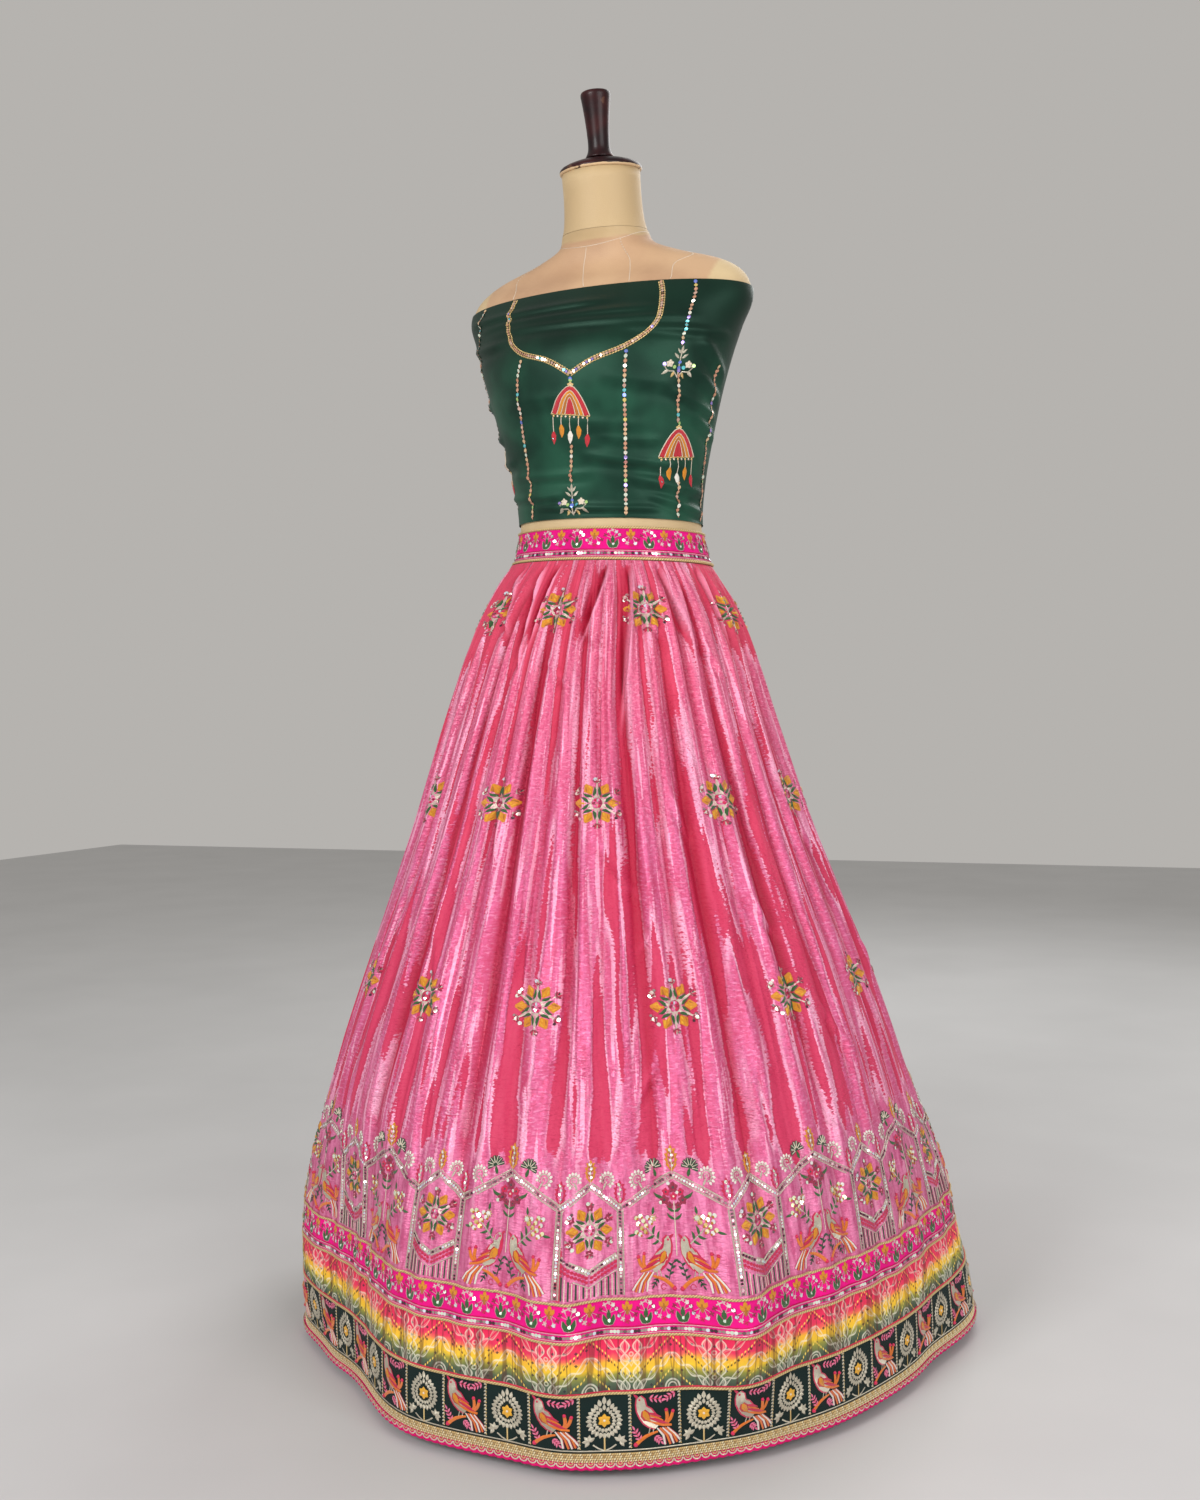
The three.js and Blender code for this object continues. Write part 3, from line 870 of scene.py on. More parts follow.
def canvas():
    """The form's covering: cream canvas on the neck and arm plates, tan over the shoulders."""
    finish = Finish("canvas", linear(204, 180, 134), 0.6)
    stain = finish.noise(finish.place(), 9.0, 4.0)
    weave = finish.noise(finish.place(), 900.0, 2.0)
    cream = finish.blend(stain.ramp(0.35, 0.75), linear(190, 163, 122), linear(210, 186, 144))
    tan = finish.blend(stain.ramp(0.3, 0.7), linear(178, 140, 108), linear(198, 162, 126))
    finish.set("Base Color", finish.blend(finish.attribute("Tan"), cream, tan))
    finish.bump(weave, 0.0003)
    return finish.material


def varnished_wood():
    """Dark turned wood, whose varnish has worn off where the mesh says so."""
    finish = Finish("dark_wood", linear(34, 6, 9), 0.4, Coat_Weight=0.05, Specular_IOR_Level=0.25)
    grain = finish.noise(finish.place(), 30.0, 4.0)
    scuffs = finish.noise(finish.place(), 60.0, 3.0).ramp(0.62, 0.7)
    bare = (finish.attribute("Worn") + finish.noise(finish.place(), 90.0, 3.0) * 0.9).ramp(0.88, 0.98)
    brown = finish.blend(grain.ramp(0.35, 0.7), linear(22, 4, 8), linear(56, 14, 16))
    coats = (scuffs * 0.25, linear(150, 110, 80)), (bare, linear(212, 180, 140))
    finish.set("Base Color", finish.layers(brown, *coats))
    finish.bump(grain, 0.0004)
    return finish.material


def metal(name, colour, roughness, metallic):
    """Scratched, slightly uneven metal."""
    finish = Finish(name, colour, roughness, Metallic=metallic)
    scratch = finish.noise(finish.place(), 120.0, 4.0)
    finish.set("Base Color", finish.blend(scratch.ramp(0.3, 0.7), darker(colour, 0.75), colour))
    finish.set("Roughness", scratch * 0.2 + roughness - 0.1)
    finish.bump(scratch, 0.0002)
    return finish.material


HOT_PINK = linear(252, 6, 142)
GOLD = linear(232, 202, 142)
tissue_cloth = tissue()
ribbon_cloth = plain_cloth("ribbon_pink", HOT_PINK, 0.65)
green_cloth = plain_cloth("dark_green_cloth", linear(4, 32, 30), 0.6)
piping_cloth = plain_cloth("pink_piping", linear(250, 16, 124), 0.6)
coral_cloth = plain_cloth("coral_piping", linear(222, 56, 84), 0.6)
gold_cord = cord_finish("gold_cord", GOLD)
lace_finish = cord_finish("gold_lace", linear(188, 152, 98), 0.0025, 0.5, 0.0)
canvas_cloth = canvas()
wood = varnished_wood()

# ---- Skirt -------------------------------------------------------------------------------------


def skirt_sheets():
    """The three widths. Each point knows its place in the folds, and how near valleys and pleats are, for
    painted shade in the valleys and pleat dips and painted highlights on the pleats' edges.
    """
    heights = np.linspace(RIBBON_TOP + SEAM_GAP, SKIRT_TOP, SKIRT_GRID[0])
    side, front, _ = np.moveaxis(curve(SKIRT_PROFILE, heights), -1, 0)
    mean = (side + front)[:, None] / 2
    for name, start, end in (("front", -58, 60), ("left", 60, 180), ("right", 180, 302)):
        angles = np.linspace(start, end, SKIRT_GRID[1])
        piece = cloth(
            f"skirt_{name}", skirt, angles, heights, tissue_cloth,
            replaces=[f"skirt_panel_{name}"], slot="pink_tissue",
        )
        i, share = fold_place(angles)
        fold = i + share + len(FOLDS) * np.floor((angles - TROUGHS[0]) / 360)
        a, z = np.meshgrid(angles, heights)
        set_values(piece, "Fold", np.tile(fold, len(heights)))
        # painted shade in the folds' valleys
        set_values(piece, "ValleyShade", 0.9 * smooth((-skirt_relief(a, z) - 3) / 9))
        # painted highlight along the pleats' edges
        set_values(piece, "PleatHighlight", np.clip(pleat_edge_highlight(a, z, mean), 0, 1))
        # painted shade in the pleats' dips, which also dims the painted sheen there
        set_values(piece, "PleatShade", np.clip(pleat_shade(a, z, mean), 0, 1))
        set_values(piece, "Smooth", smooth_cloth(a, z))


skirt_sheets()


def gathered(angle, z):
    """The soft gathers of the printed band, which its two seams hold flat."""
    free = smooth((z - GREEN_TOP) / 12) * smooth((TIE_DYE_TOP - z) / 12)
    turn = np.radians(angle)
    uneven = 0.55 + 0.45 * np.sin(turn * 23 + 1.0)
    return 0.9 + 1.9 * free * uneven * np.sin(turn * 137 + 2.4 * np.sin(turn * 17) + z / 31)


ROUND = np.linspace(-180, 180, ROUND_STEPS + 1)
# how often each strip's figures come round
RIBBON_REPEATS, BAND_REPEATS, LACE_REPEATS, WAIST_REPEATS = 68, 26, 272, 17
BORDER = [
    # name, low, high, rows, material, push, slot
    ("hem_ribbon", TIE_DYE_TOP, RIBBON_TOP, 10, ribbon_cloth, STRIP_PUSH, "ribbon_pink"),
    ("tie_dye_band", GREEN_TOP, TIE_DYE_TOP, 16, tie_dye(), gathered, "tie_dye"),
    ("green_band", LACE_TOP, GREEN_TOP, 14, green_cloth, STRIP_PUSH, "dark_green_cloth"),
    ("hem_lace", PIPING_TOP, LACE_TOP, 4, lace_finish, STRIP_PUSH, "gold_lace"),
]
for name, low, high, rows, material, push, slot in BORDER:
    heights = np.linspace(low + SEAM_GAP, high, rows)
    strip = cloth(f"{name}_cloth", skirt, ROUND, heights, material, push, replaces=[name], slot=slot)
    (high - low) / 1000


def round_cord(name, surface, z, push, radius, material, ripples=0, **words):
    """A cord all round a surface at one height, scalloped where it has ripples."""
    a = np.linspace(-180, 180, max(ROUND_STEPS, 8 * ripples), endpoint=False)
    centres = stand_out(surface, a, np.full(a.shape, float(z)), np.full(a.shape, push))
    swell = 1 + (0.13 * np.cos(np.radians(a) * ripples) if ripples else 0 * a)
    return tube(name, centres, radius * swell, material, **words)


round_cord(
    "hem_piping_cord", skirt, z=15.8, push=-0.5, radius=4.2, material=piping_cloth,
    ripples=LACE_REPEATS, replaces=["hem_piping"], slot="pink_piping",
)
round_cord(
    "coral_piping", skirt, z=GREEN_TOP + 2.2, push=0.8, radius=0.95, material=coral_cloth, slot="pink_piping"
)
for z in (RIBBON_TOP, TIE_DYE_TOP, GREEN_TOP):
    round_cord(f"gold_cord_{z}", skirt, z, push=1.2, radius=1.5, material=gold_cord, slot="gold_cord")

# ---- Waistband and blouse ----------------------------------------------------------------------

band = cloth(
    "waistband_cloth", waist, ROUND[::2], np.linspace(WAIST_LOW, WAIST_TOP, 10), ribbon_cloth, push=1.6,
    replaces=["waistband"], slot="ribbon_pink",
)
WAIST_CORDS = [
    # name, the node it replaces, z, push, radius
    ("waist_cord_low", "waist_piping_bottom", 1005.5, 2.6, 2.1),
    ("waist_cord_high", "waist_piping_top", 1045.5, 2.0, 1.7),
]
for name, node, z, push, radius in WAIST_CORDS:
    round_cord(name, waist, z, push, radius, gold_cord, replaces=[node], slot="gold_cord")

blouse_heights = np.linspace(BLOUSE_LOW, BLOUSE_TOP, BLOUSE_GRID[0])
blouse_angles = np.linspace(LAP_START, LAP_END + 360, BLOUSE_GRID[1])
blouse_cloth = cloth(
    "blouse_cloth", blouse, blouse_angles, blouse_heights, satin(),
    replaces=["blouse_wrap"], slot="green_satin",
)

# ---- Embroidery --------------------------------------------------------------------------------

THREAD, ZARI, SEQUIN = range(3)
LIFT = 0.3
CREAM = linear(238, 222, 200)
PALE = linear(236, 196, 196)
SILVER = linear(214, 206, 186)
PALE_SILVER = linear(240, 216, 204)
GOLD_THREAD = linear(232, 200, 136)
MUSTARD = linear(228, 144, 8)
OCHRE = linear(190, 112, 14)
YELLOW = linear(242, 178, 36)
ORANGE = linear(240, 124, 28)
RED = linear(200, 26, 44)
CRIMSON = linear(212, 16, 78)
MAROON = linear(156, 26, 66)
PINK = linear(238, 104, 160)
GREEN = linear(40, 94, 38)
DARK_GREEN = linear(22, 68, 40)
WHITE = linear(246, 240, 228)
OLD_ROSE = linear(214, 160, 134)
ROSE = linear(242, 122, 160)
SEQUIN_TINTS = linears((246, 246, 240), (250, 248, 236), (232, 244, 226), (226, 238, 248))
DARK_TINTS = linears((84, 58, 66), (128, 100, 104), (176, 150, 150))
SUNNY_TINTS = linears((250, 246, 196), (236, 246, 204), (248, 248, 240), (226, 200, 130))
LACE_TINTS = linears((226, 190, 126), (255, 240, 200), (190, 150, 90), (240, 210, 150))
ROSE_TINTS = linears((226, 176, 146), (214, 158, 130), (236, 200, 160), (222, 186, 170))
GEM_TINTS = linears((110, 206, 214), (168, 146, 222), (238, 216, 130), (186, 222, 140), (120, 140, 226))


class Motif:
    """Stitches in flat millimetres: x to the right, y up, and the height out from the cloth."""

    def __init__(self):
        self.patches = []

    def patch(self, points, uv, faces, colour, kind):
        self.patches.append((points, uv, np.asarray(faces), np.tile(colour, (len(points), 1)), kind))
        return self

    def blade(self, path, width, colour, rise=0.7, kind=THREAD):
        """A padded ridge of stitches along a path. Its width may differ from point to point."""
        path = np.array(path, float)
        width = np.broadcast_to(np.asarray(width, float), len(path))
        ahead = np.gradient(path, axis=0)
        ahead /= np.linalg.norm(ahead, axis=1, keepdims=True)
        across = np.stack([-ahead[:, 1], ahead[:, 0]], -1) * width[:, None] / 2
        low = np.full((len(path), 1), LIFT)
        crown = low + (rise * width / width.max())[:, None]
        rows = [np.hstack([path + across, low]), np.hstack([path, crown]), np.hstack([path - across, low])]
        steps = np.linalg.norm(np.diff(path, axis=0), axis=1).cumsum() / 1000
        along = np.concatenate([[0], steps])[:, None]
        uv = np.stack(np.broadcast_arrays(along, np.array([0.0, 0.5, 1.0])), -1).reshape(-1, 2)
        return self.patch(np.stack(rows, 1).reshape(-1, 3), uv, grid_faces(len(path), 3), colour, kind)

    def line(self, path, width=0.9, colour=SILVER, kind=ZARI):
        """A thin cord, low on the cloth."""
        return self.blade(path, width, colour, 0.5, kind)

    def leaf(self, root, tip, width, colour, bend=0.0, rise=0.8, kind=THREAD):
        """A pointed blade. A positive bend swells it to the left of its way from root to tip."""
        root, tip = np.array(root, float), np.array(tip, float)
        side = np.array([root[1] - tip[1], tip[0] - root[0]])
        share = np.array([0, 0.3, 0.65, 1.0])
        path = root + (tip - root) * share[:, None] + side * (bend * np.sin(np.pi * share))[:, None]
        return self.blade(path, width * np.array([0.3, 1.0, 0.8, 0.08]), colour, rise, kind)

    def metal_leaf(self, root, tip, width, colour=SILVER, rise=0.8):
        """A straight leaf in metal thread."""
        return self.leaf(root, tip, width, colour, rise=rise, kind=ZARI)

    def bead(self, x, y, size, colour, kind=THREAD):
        """A low dome: a bead or a knot."""
        turn = np.arange(6) * np.pi / 3
        ring = np.stack([np.cos(turn), np.sin(turn), 0 * turn], -1) * size / 2
        points = np.vstack([ring, ring * 0.55 + (0, 0, size * 0.36)]) + (x, y, LIFT)
        i = np.arange(6)
        j = (i + 1) % 6
        faces = np.vstack([np.stack([i, j, j + 6, i + 6], -1), [[6, 7, 8, 9], [6, 9, 10, 11]]])
        return self.patch(points, np.zeros((12, 2)), faces, colour, kind)

    def sequin(self, x, y, size, tints=SEQUIN_TINTS):
        """A shiny disc that leans a little."""
        turn = np.arange(8) * np.pi / 4 + 0.2
        ring = np.stack([np.cos(turn), np.sin(turn)], -1) * size / 2
        height = LIFT + 0.6 + ring @ rng.normal(0, 0.16, 2)
        points = np.column_stack([ring + (x, y), height])
        faces = [[0, 1, 2, 3], [0, 3, 4, 7], [4, 5, 6, 7]]
        return self.patch(points, np.zeros((8, 2)), faces, tints[rng.integers(len(tints))], SEQUIN)

    def add(self, other, x=0.0, y=0.0, turn=0.0, scale=1.0, mirror=False, narrow=1.0):
        """Another motif's stitches, mirrored, scaled, narrowed, turned anticlockwise and moved."""
        c, s = math.cos(math.radians(turn)), math.sin(math.radians(turn))
        for points, uv, faces, colours, kind in other.patches:
            flat = points[:, :2] * ((-scale if mirror else scale) * narrow, scale)
            flat = flat @ np.array([[c, s], [-s, c]]) + (x, y)
            faces = faces[:, ::-1] if mirror else faces
            self.patches.append((np.column_stack([flat, points[:, 2]]), uv, faces, colours, kind))
        return self

    def merged(self):
        """All its stitches as one set of points, UVs, faces, colours and kinds."""
        starts = np.cumsum([0] + [len(patch[0]) for patch in self.patches])
        points, uv, faces, colours, kinds = zip(*self.patches)
        faces = [one + start for one, start in zip(faces, starts)]
        kinds = np.repeat(kinds, [len(one) for one in faces])
        return (*(np.concatenate(part) for part in (points, uv, faces, colours)), kinds)


def straight(x0, y0, x1, y1, steps):
    """Points on a straight line."""
    return np.column_stack([np.linspace(x0, x1, steps), np.linspace(y0, y1, steps)])


def round_points(x, y, radius, start, end, steps):
    """Points on an arc, anticlockwise from +X."""
    t = np.radians(np.linspace(start, end, steps))
    return np.column_stack([x + radius * np.cos(t), y + radius * np.sin(t)])


def spoke(radius, degrees):
    """The place at a radius and a direction, anticlockwise from +X."""
    t = math.radians(degrees)
    return radius * math.cos(t), radius * math.sin(t)


def rail(motif, x0, y0, x1, y1, gap=6.4):
    """Two silver cords with sequins between them, from one point to another: some runs dark, some bright."""
    start, way = np.array([x0, y0]), np.array([x1 - x0, y1 - y0])
    length = math.hypot(*way)
    side = np.array([-way[1], way[0]]) / length * gap / 2
    steps = max(2, round(length / 12) + 1)
    for sign in (-1, 1):
        for out, width, colour in ((sign, 1.2, SILVER), (sign * 0.6, 0.7, PALE)):
            edge = start + side * out
            motif.line(straight(*edge, *(edge + way), steps), width, colour)
    for k, share in enumerate(np.arange(0.5, length / 3.4) * 3.4 / length):
        if k % 5 == 0:
            tints = (SEQUIN_TINTS, DARK_TINTS, SEQUIN_TINTS)[rng.integers(3)]
        motif.sequin(*(start + way * share), 2.9, tints)


def floret(colour, size, heart=CREAM):
    """A small flower: five petals round a bead."""
    flower = Motif()
    for k in range(5):
        x, y = spoke(size / 2, 72 * k + 18)
        flower.leaf((x * 0.2, y * 0.2), (x, y), size * 0.42, colour)
    return flower.bead(0, 0, size * 0.28, heart)


def cross(colour, size):
    """A tiny flower of two crossed stitches."""
    r = size / 2
    flower = Motif().blade([(-r, -r * 0.5), (r, r * 0.5)], size * 0.34, colour)
    return flower.blade([(-r * 0.5, r), (r * 0.5, -r)], size * 0.34, colour, 0.8)


def sprig(length, size, colour, pairs, stem):
    """A stem with pairs of small leaves and one at its tip."""
    twig = Motif().line(straight(0, 0, 0, length, 3), 0.8, stem)
    for k in range(pairs):
        y = length * (k + 0.6) / pairs
        for x in (size * 0.75, -size * 0.75):
            twig.leaf((0, y - size * 0.3), (x, y + size * 0.35), size * 0.42, colour)
    return twig.leaf((0, length), (0, length + size), size * 0.42, colour)


def buti():
    """The scattered flower: a star of six slim rays, with a yellow bud in two leaves between each two."""
    ray = Motif().blade([(0, 6.5), (0, 13), (0, 25)], [8.0, 4.4, 1.6], PALE_SILVER, rise=0.8, kind=ZARI)
    ray.leaf((0, 7), (0, 18), 1.8, PINK, rise=1.3)
    bud = Motif()
    for sign in (-1, 1):
        ray.leaf((sign * 0.6, 25), (sign * 5.4, 29), 3.8, MAROON, bend=sign * 0.15)
        ray.leaf((sign * 0.4, 26), (sign * 2.8, 31.8), 3.2, CRIMSON)
        ray.line([(0, 25), (sign * 3.4, 26.6)])
        bud.leaf((sign * 0.8, 10.4), (sign * 8.0, 19.4), 4.0, GREEN, bend=-sign * 0.12, rise=2.0)
    ray.metal_leaf((0, 25), (0, 32.5), 2.4).bead(0, 26.5, 2.6, MAROON)
    bud.blade([(0, 13), (0, 20), (0, 27.4)], [2.0, 12.6, 2.6], MUSTARD, rise=1.6)
    bud.leaf((-3.6, 18), (-0.8, 25.6), 3.2, OCHRE, rise=1.9)
    bud.leaf((3.4, 18.4), (1.4, 25), 3.0, YELLOW, rise=1.9)
    bud.leaf((0, 14), (0.4, 21), 2.6, YELLOW, rise=2.0)
    flower = Motif()
    for k in range(6):
        flower.add(bud, turn=60 * k + 30).add(ray, turn=60 * k)
        flower.bead(*spoke(4.4, 60 * k), 3.6, (MAROON, PINK, CRIMSON)[k % 3])
    bright = (-24, 16), (-26.5, 11.5), (-24, -14.5), (-19.5, -19.5), (26, -14), (-2.5, 30)
    dark = (-21.5, 19), (-27, -10.5), (24.5, 15.5), (2.6, -29.5), (22, -18.5), (3, 28.5), (25.5, -10)
    for places, size, tints in ((bright, 4.6, SEQUIN_TINTS), (dark, 3.4, DARK_TINTS)):
        for x, y in places:
            flower.sequin(x, y, size, tints)
    flower.line(round_points(0, 0, 7.4, 0, 360, 13), 1.1)
    flower.sequin(0.6, 3.6, 3.8).sequin(-0.4, -2.8, 3.8, [PALE, CREAM])
    return flower.bead(-3.2, 0.6, 2.2, DARK_TINTS[0])


def bird():
    """A plump bird on a branch, 70 mm tall, that looks up to the left."""
    figure = Motif()
    tail = [
        # x at the root, the middle and the tip of a feather, and y at its tip
        (33, 41, 43.2, 2.6),
        (36.6, 45.6, 50, 2.2),
        (39.8, 50, 54.5, 2.6),
        (43.2, 54.4, 58.9, 3.8),
        (46, 56.6, 63, 6.4),
    ]
    for k, (root, middle, tip, foot) in enumerate(tail):
        feather = [(root, 25), (middle, 14.8), (tip, foot)]
        figure.blade(feather, [1.8, 3.0, 2.4], (WHITE, ORANGE)[k % 2], rise=1.0)
        figure.line([(root + 2, 25), (middle + 2, 14.8), (tip + 1.6, foot + 0.6)], 0.8, CRIMSON, THREAD)
    branch = [(5.7, 5.6), (11.4, 10.9), (18.2, 15.3), (26.1, 18.4), (34.1, 20.4)]
    figure.blade(branch, [5, 5, 4.6, 3.8, 2.4], ORANGE, rise=1.3).bead(5.2, 5.4, 6.4, CRIMSON)
    figure.line([(23.9, 26), (22.2, 19)], 1.3).line([(28.4, 25), (27.8, 20)], 1.3)
    head_to_chest = [(9.9, 66.3), (12, 62), (12.5, 56.6), (13.4, 50.8)]
    spine = [*head_to_chest, (18.4, 44.6), (23.1, 38), (27.8, 32.4), (33.5, 27)]
    body = np.array([6.5, 12.0, 13.6, 15.0, 19.6, 20.0, 16.6, 10.0])
    figure.blade(spine, body + 1.8, CRIMSON, rise=0.6).blade(spine, body, SILVER, rise=1.0, kind=ZARI)
    figure.leaf((9.2, 64.6), (3.0, 70), 3.6, CRIMSON, rise=1.6).bead(10.8, 62.6, 3.6, CRIMSON)
    shoulder = [(15.4, 49), (17.6, 44), (20.6, 39.2), (24.4, 34.4)]
    wing_and_flowers = [
        # path, width, colour, rise
        ([(22.4, 45), (30, 42.6), (38.4, 38.6)], [3.0, 4.2, 1.4], CRIMSON, 2.4),
        ([(23.4, 42), (32, 39), (41, 34.4)], [2.6, 3.2, 1.2], ORANGE, 2.5),
        ([(23, 39), (32, 35.4), (41, 31.6), (48.6, 29.8)], [3.4, 4.6, 4.2, 1.4], CRIMSON, 2.5),
        ([(22.6, 35), (32, 31), (42, 28), (52, 27.2)], [3.0, 4.0, 3.8, 3.0], ORANGE, 2.4),
        (shoulder, [8.6, 14.2, 13.6, 6.0], RED, 2.4),
        (shoulder, [6.4, 12.0, 11.2, 4.0], MUSTARD, 3.0),
        ([(43.6, 30), (46.4, 35), (46.6, 40), (45.8, 46)], [3.4, 4.6, 4.6, 4.2], ORANGE, 1.4),
        ([(47, 30.6), (50.6, 35), (52.6, 39), (54, 43.6)], [3.4, 4.4, 4.4, 4.0], ORANGE, 1.3),
    ]
    for path, width, colour, rise in wing_and_flowers:
        figure.blade(path, width, colour, rise)
    figure.leaf((16.6, 46.4), (20.4, 37.6), 2.6, OCHRE, rise=3.4)
    return figure.bead(45.6, 47.2, 5.2, CRIMSON).bead(54.3, 44.8, 5.2, CRIMSON)


def fan(size):
    """A dark green fan with cream ribs."""
    leaf = Motif()
    for k in range(7):
        x, y = spoke(size / 2, 30 * k)
        leaf.blade([(0, 0), (x * 0.6, y * 0.6), (x, y)], [size * 0.05, size * 0.17, size * 0.2], DARK_GREEN)
        leaf.blade([(x * 0.25, y * 0.25), (x * 0.95, y * 0.95)], 1.2, CREAM, rise=1.6)
    return leaf.leaf((0, -size * 0.46), (0, 0), size * 0.2, GREEN)


def shell(size):
    """A cream scallop of beads on a scroll."""
    scroll = Motif()
    for x, y in round_points(0, 0, size / 2, -35, 215, 10):
        scroll.leaf((x * 0.68, y * 0.68), (x * 1.08, y * 1.08), 3.2, WHITE, rise=1.0)
    scroll.line(round_points(0, 0, size * 0.3, -60, 240, 9), 1.4)
    scroll.line(round_points(0, 0, size * 0.14, 0, 300, 6), 1.3, PALE)
    return scroll.metal_leaf((0, -size * 0.15), (0, -size * 0.62), 2.4)


def finial(height, outline, inner):
    """A tall bud: lobes up each side and at its tip, with small leaves and sequins inside."""
    half = height * 0.17
    edge = [(0.4, 0), (half, height * 0.2), (half * 1.1, height * 0.5), (half * 0.7, height * 0.8)]
    side = Motif().blade(edge, [1.4, 1.9, 1.9, 1.2], outline, rise=1.0)
    for x, y in ((half * 0.7, 0.13), (half, 0.32), (half, 0.52), (half * 0.6, 0.72)):
        lobe_tip = (x + height * 0.13, height * (y + 0.12))
        side.leaf((x, height * y), lobe_tip, height * 0.12, outline, bend=0.2)
        side.leaf((0.3, height * (y - 0.08)), (half * 0.8, height * (y + 0.04)), height * 0.08, inner)
    top = Motif().add(side).add(side, mirror=True)
    top.line(straight(0, -3, 0, height * 0.75, 3), 0.8, CREAM, THREAD)
    top.leaf((0, height * 0.74), (0, height), height * 0.16, outline)
    for k, size in enumerate((2.6, 3.0, 2.8, 3.6)):
        top.sequin((-1) ** k * 0.8, height * (0.2 + 0.2 * k), size)
    return top


# the tall border: how often it comes round, its width, and its columns', hexagons' and arches' own;
# JUNCTION is the height at which the frames spring from the columns
REPEATS, REPEAT = 14, 186.0
COLUMN, HEXAGON, ARCH, JUNCTION = 8.0, 58.0, 112.0, 87.0


def border_hexagon():
    """A six-sided frame round a star flower, over a zigzag of dashes and upright lines."""
    panel = Motif().add(buti(), 0, 67, scale=0.88)
    for k in range(6):
        x, y = spoke(22.5, 90 - 60 * k)
        panel.add(floret(MAROON, 8.5, ROSE), x, 67 + y, turn=20 * k)
    half = HEXAGON / 2
    middle = half + COLUMN / 2
    for sign in (-1, 1):
        rail(panel, sign * middle, 1, sign * middle, JUNCTION - 2, COLUMN - 1.6)
        rail(panel, sign * middle, JUNCTION, 0, JUNCTION + 24)
        rail(panel, sign * half, 41, 0, 25, 4.6)
        for row in (0, 1):
            for k in range(8):
                x, y = sign * (half - 1.5 - 3.5 * k), 34.5 - 1.95 * k - 4.4 * row
                panel.leaf((x - sign * 1.9, y - 1.1), (x + sign * 1.7, y + 1.0), 3.4, CRIMSON, rise=1.0)
        panel.line(straight(sign * half, 26.5, 0, 10.5, 3), 1.1)
        for k in range(4):
            for x, width, colour in ((1.9 + 7.2 * k, 1.1, CREAM), (5.3 + 7.2 * k, 1.7, DARK_GREEN)):
                top = 9.2 + 16 * x / half
                panel.line(straight(sign * x, 1, sign * x, top, 2), width, colour, THREAD)
        panel.add(shell(17), sign * 18.5, JUNCTION + 29, turn=-sign * 25)
    return panel.add(finial(22, MUSTARD, OCHRE), 0, JUNCTION + 28)


def bouquet():
    """A slanting stem with leaves and a cluster of large sequins."""
    bunch = Motif().line([(0, 0), (-5, 5), (-12, 12), (-17, 18)], 1.3)
    upper = (-12, 22), (-17, 19), (-22, 17), (-15, 27), (-20, 24), (-26, 22), (-23, 29), (-28, 28)
    lower = (-18, 13), (-24, 11), (-28, 14)
    for x, y in upper + lower:
        bunch.bead(x + 1.6, y - 1.4, 3.2, OCHRE).sequin(x, y, 4.6, SUNNY_TINTS)
    for k in range(8):
        x, y = spoke(5, 45 * k)
        bunch.metal_leaf((-9, 26), (x - 9, y + 26), 1.6, GOLD_THREAD)
    bunch.sequin(-9, 26, 5.4)
    for root, tip in (((-3, 4), (-11, 0)), ((-4, 5), (-2, 13)), ((-8, 9), (-17, 6)), ((-9, 10), (-7, 19))):
        bunch.leaf(root, tip, 3.0, GREEN, bend=0.1)
    return bunch.leaf((-9, 30), (-8, 38), 3.0, GREEN).leaf((-29, 12), (-37, 11), 3.0, GREEN)


def border_arch():
    """A pointed arch over two birds, a flowering stem and two bouquets."""
    panel = Motif()
    half = ARCH / 2
    for sign in (-1, 1):
        right = sign > 0
        rail(panel, sign * (half + COLUMN / 2), JUNCTION, 0, JUNCTION + 32)
        panel.add(bird(), 0, 0, scale=0.85, mirror=not right, narrow=0.9)
        panel.add(bouquet(), sign * 15, 49, mirror=right)
        panel.add(fan(20), sign * 21, JUNCTION + 38, turn=-sign * 18)
        panel.add(shell(19), sign * 40, JUNCTION + 28, turn=-sign * 30)
        panel.line([(sign * 9, 13), (sign * 7, 22), (sign * 4.5, 30), (0, 33)], 1.0, DARK_GREEN, THREAD)
        for k in range(6):
            x, y = 9 - 1.1 * k, 15 + 3.2 * k
            panel.leaf((sign * x, y), (sign * (x + 4.6 * (-1) ** k), y + 3), 2.6, DARK_GREEN, bend=0.1)
        panel.add(sprig(8, 4.6, DARK_GREEN, 2, DARK_GREEN), sign * 21, 15, turn=-sign * 150)
        panel.line(round_points(sign * 15, 6, 3.0, 0, 320, 7), 0.9, CRIMSON, THREAD)
        for x, y, size, colour in ((10, 93, 11, MAROON), (8, 101, 9, CRIMSON), (4.5, 88, 8, MAROON)):
            panel.add(floret(colour, size, DARK_TINTS[0]), sign * x, y)
        leaves = ((11, 95, 22, 101, 3.6, 0.15), (0, 82, 8, 87, 3.0, 0.1), (0, 74, 8, 80, 3.0, 0.1))
        for x, y, tip_x, tip_y, width, bend in leaves:
            panel.leaf((sign * x, y), (sign * tip_x, tip_y), width, GREEN, bend=-sign * bend)
    panel.line(straight(0, 38, 0, 92, 5), 1.0, CREAM, THREAD)
    panel.add(floret(MAROON, 12, DARK_TINTS[0]), 0, 106).add(floret(CRIMSON, 9, CREAM), 0, 97)
    panel.sequin(-5, 110, 4).sequin(-14, 90, 4).sequin(4, 101, 3.4)
    return panel.add(finial(26, MUSTARD, OCHRE), 0, JUNCTION + 36)


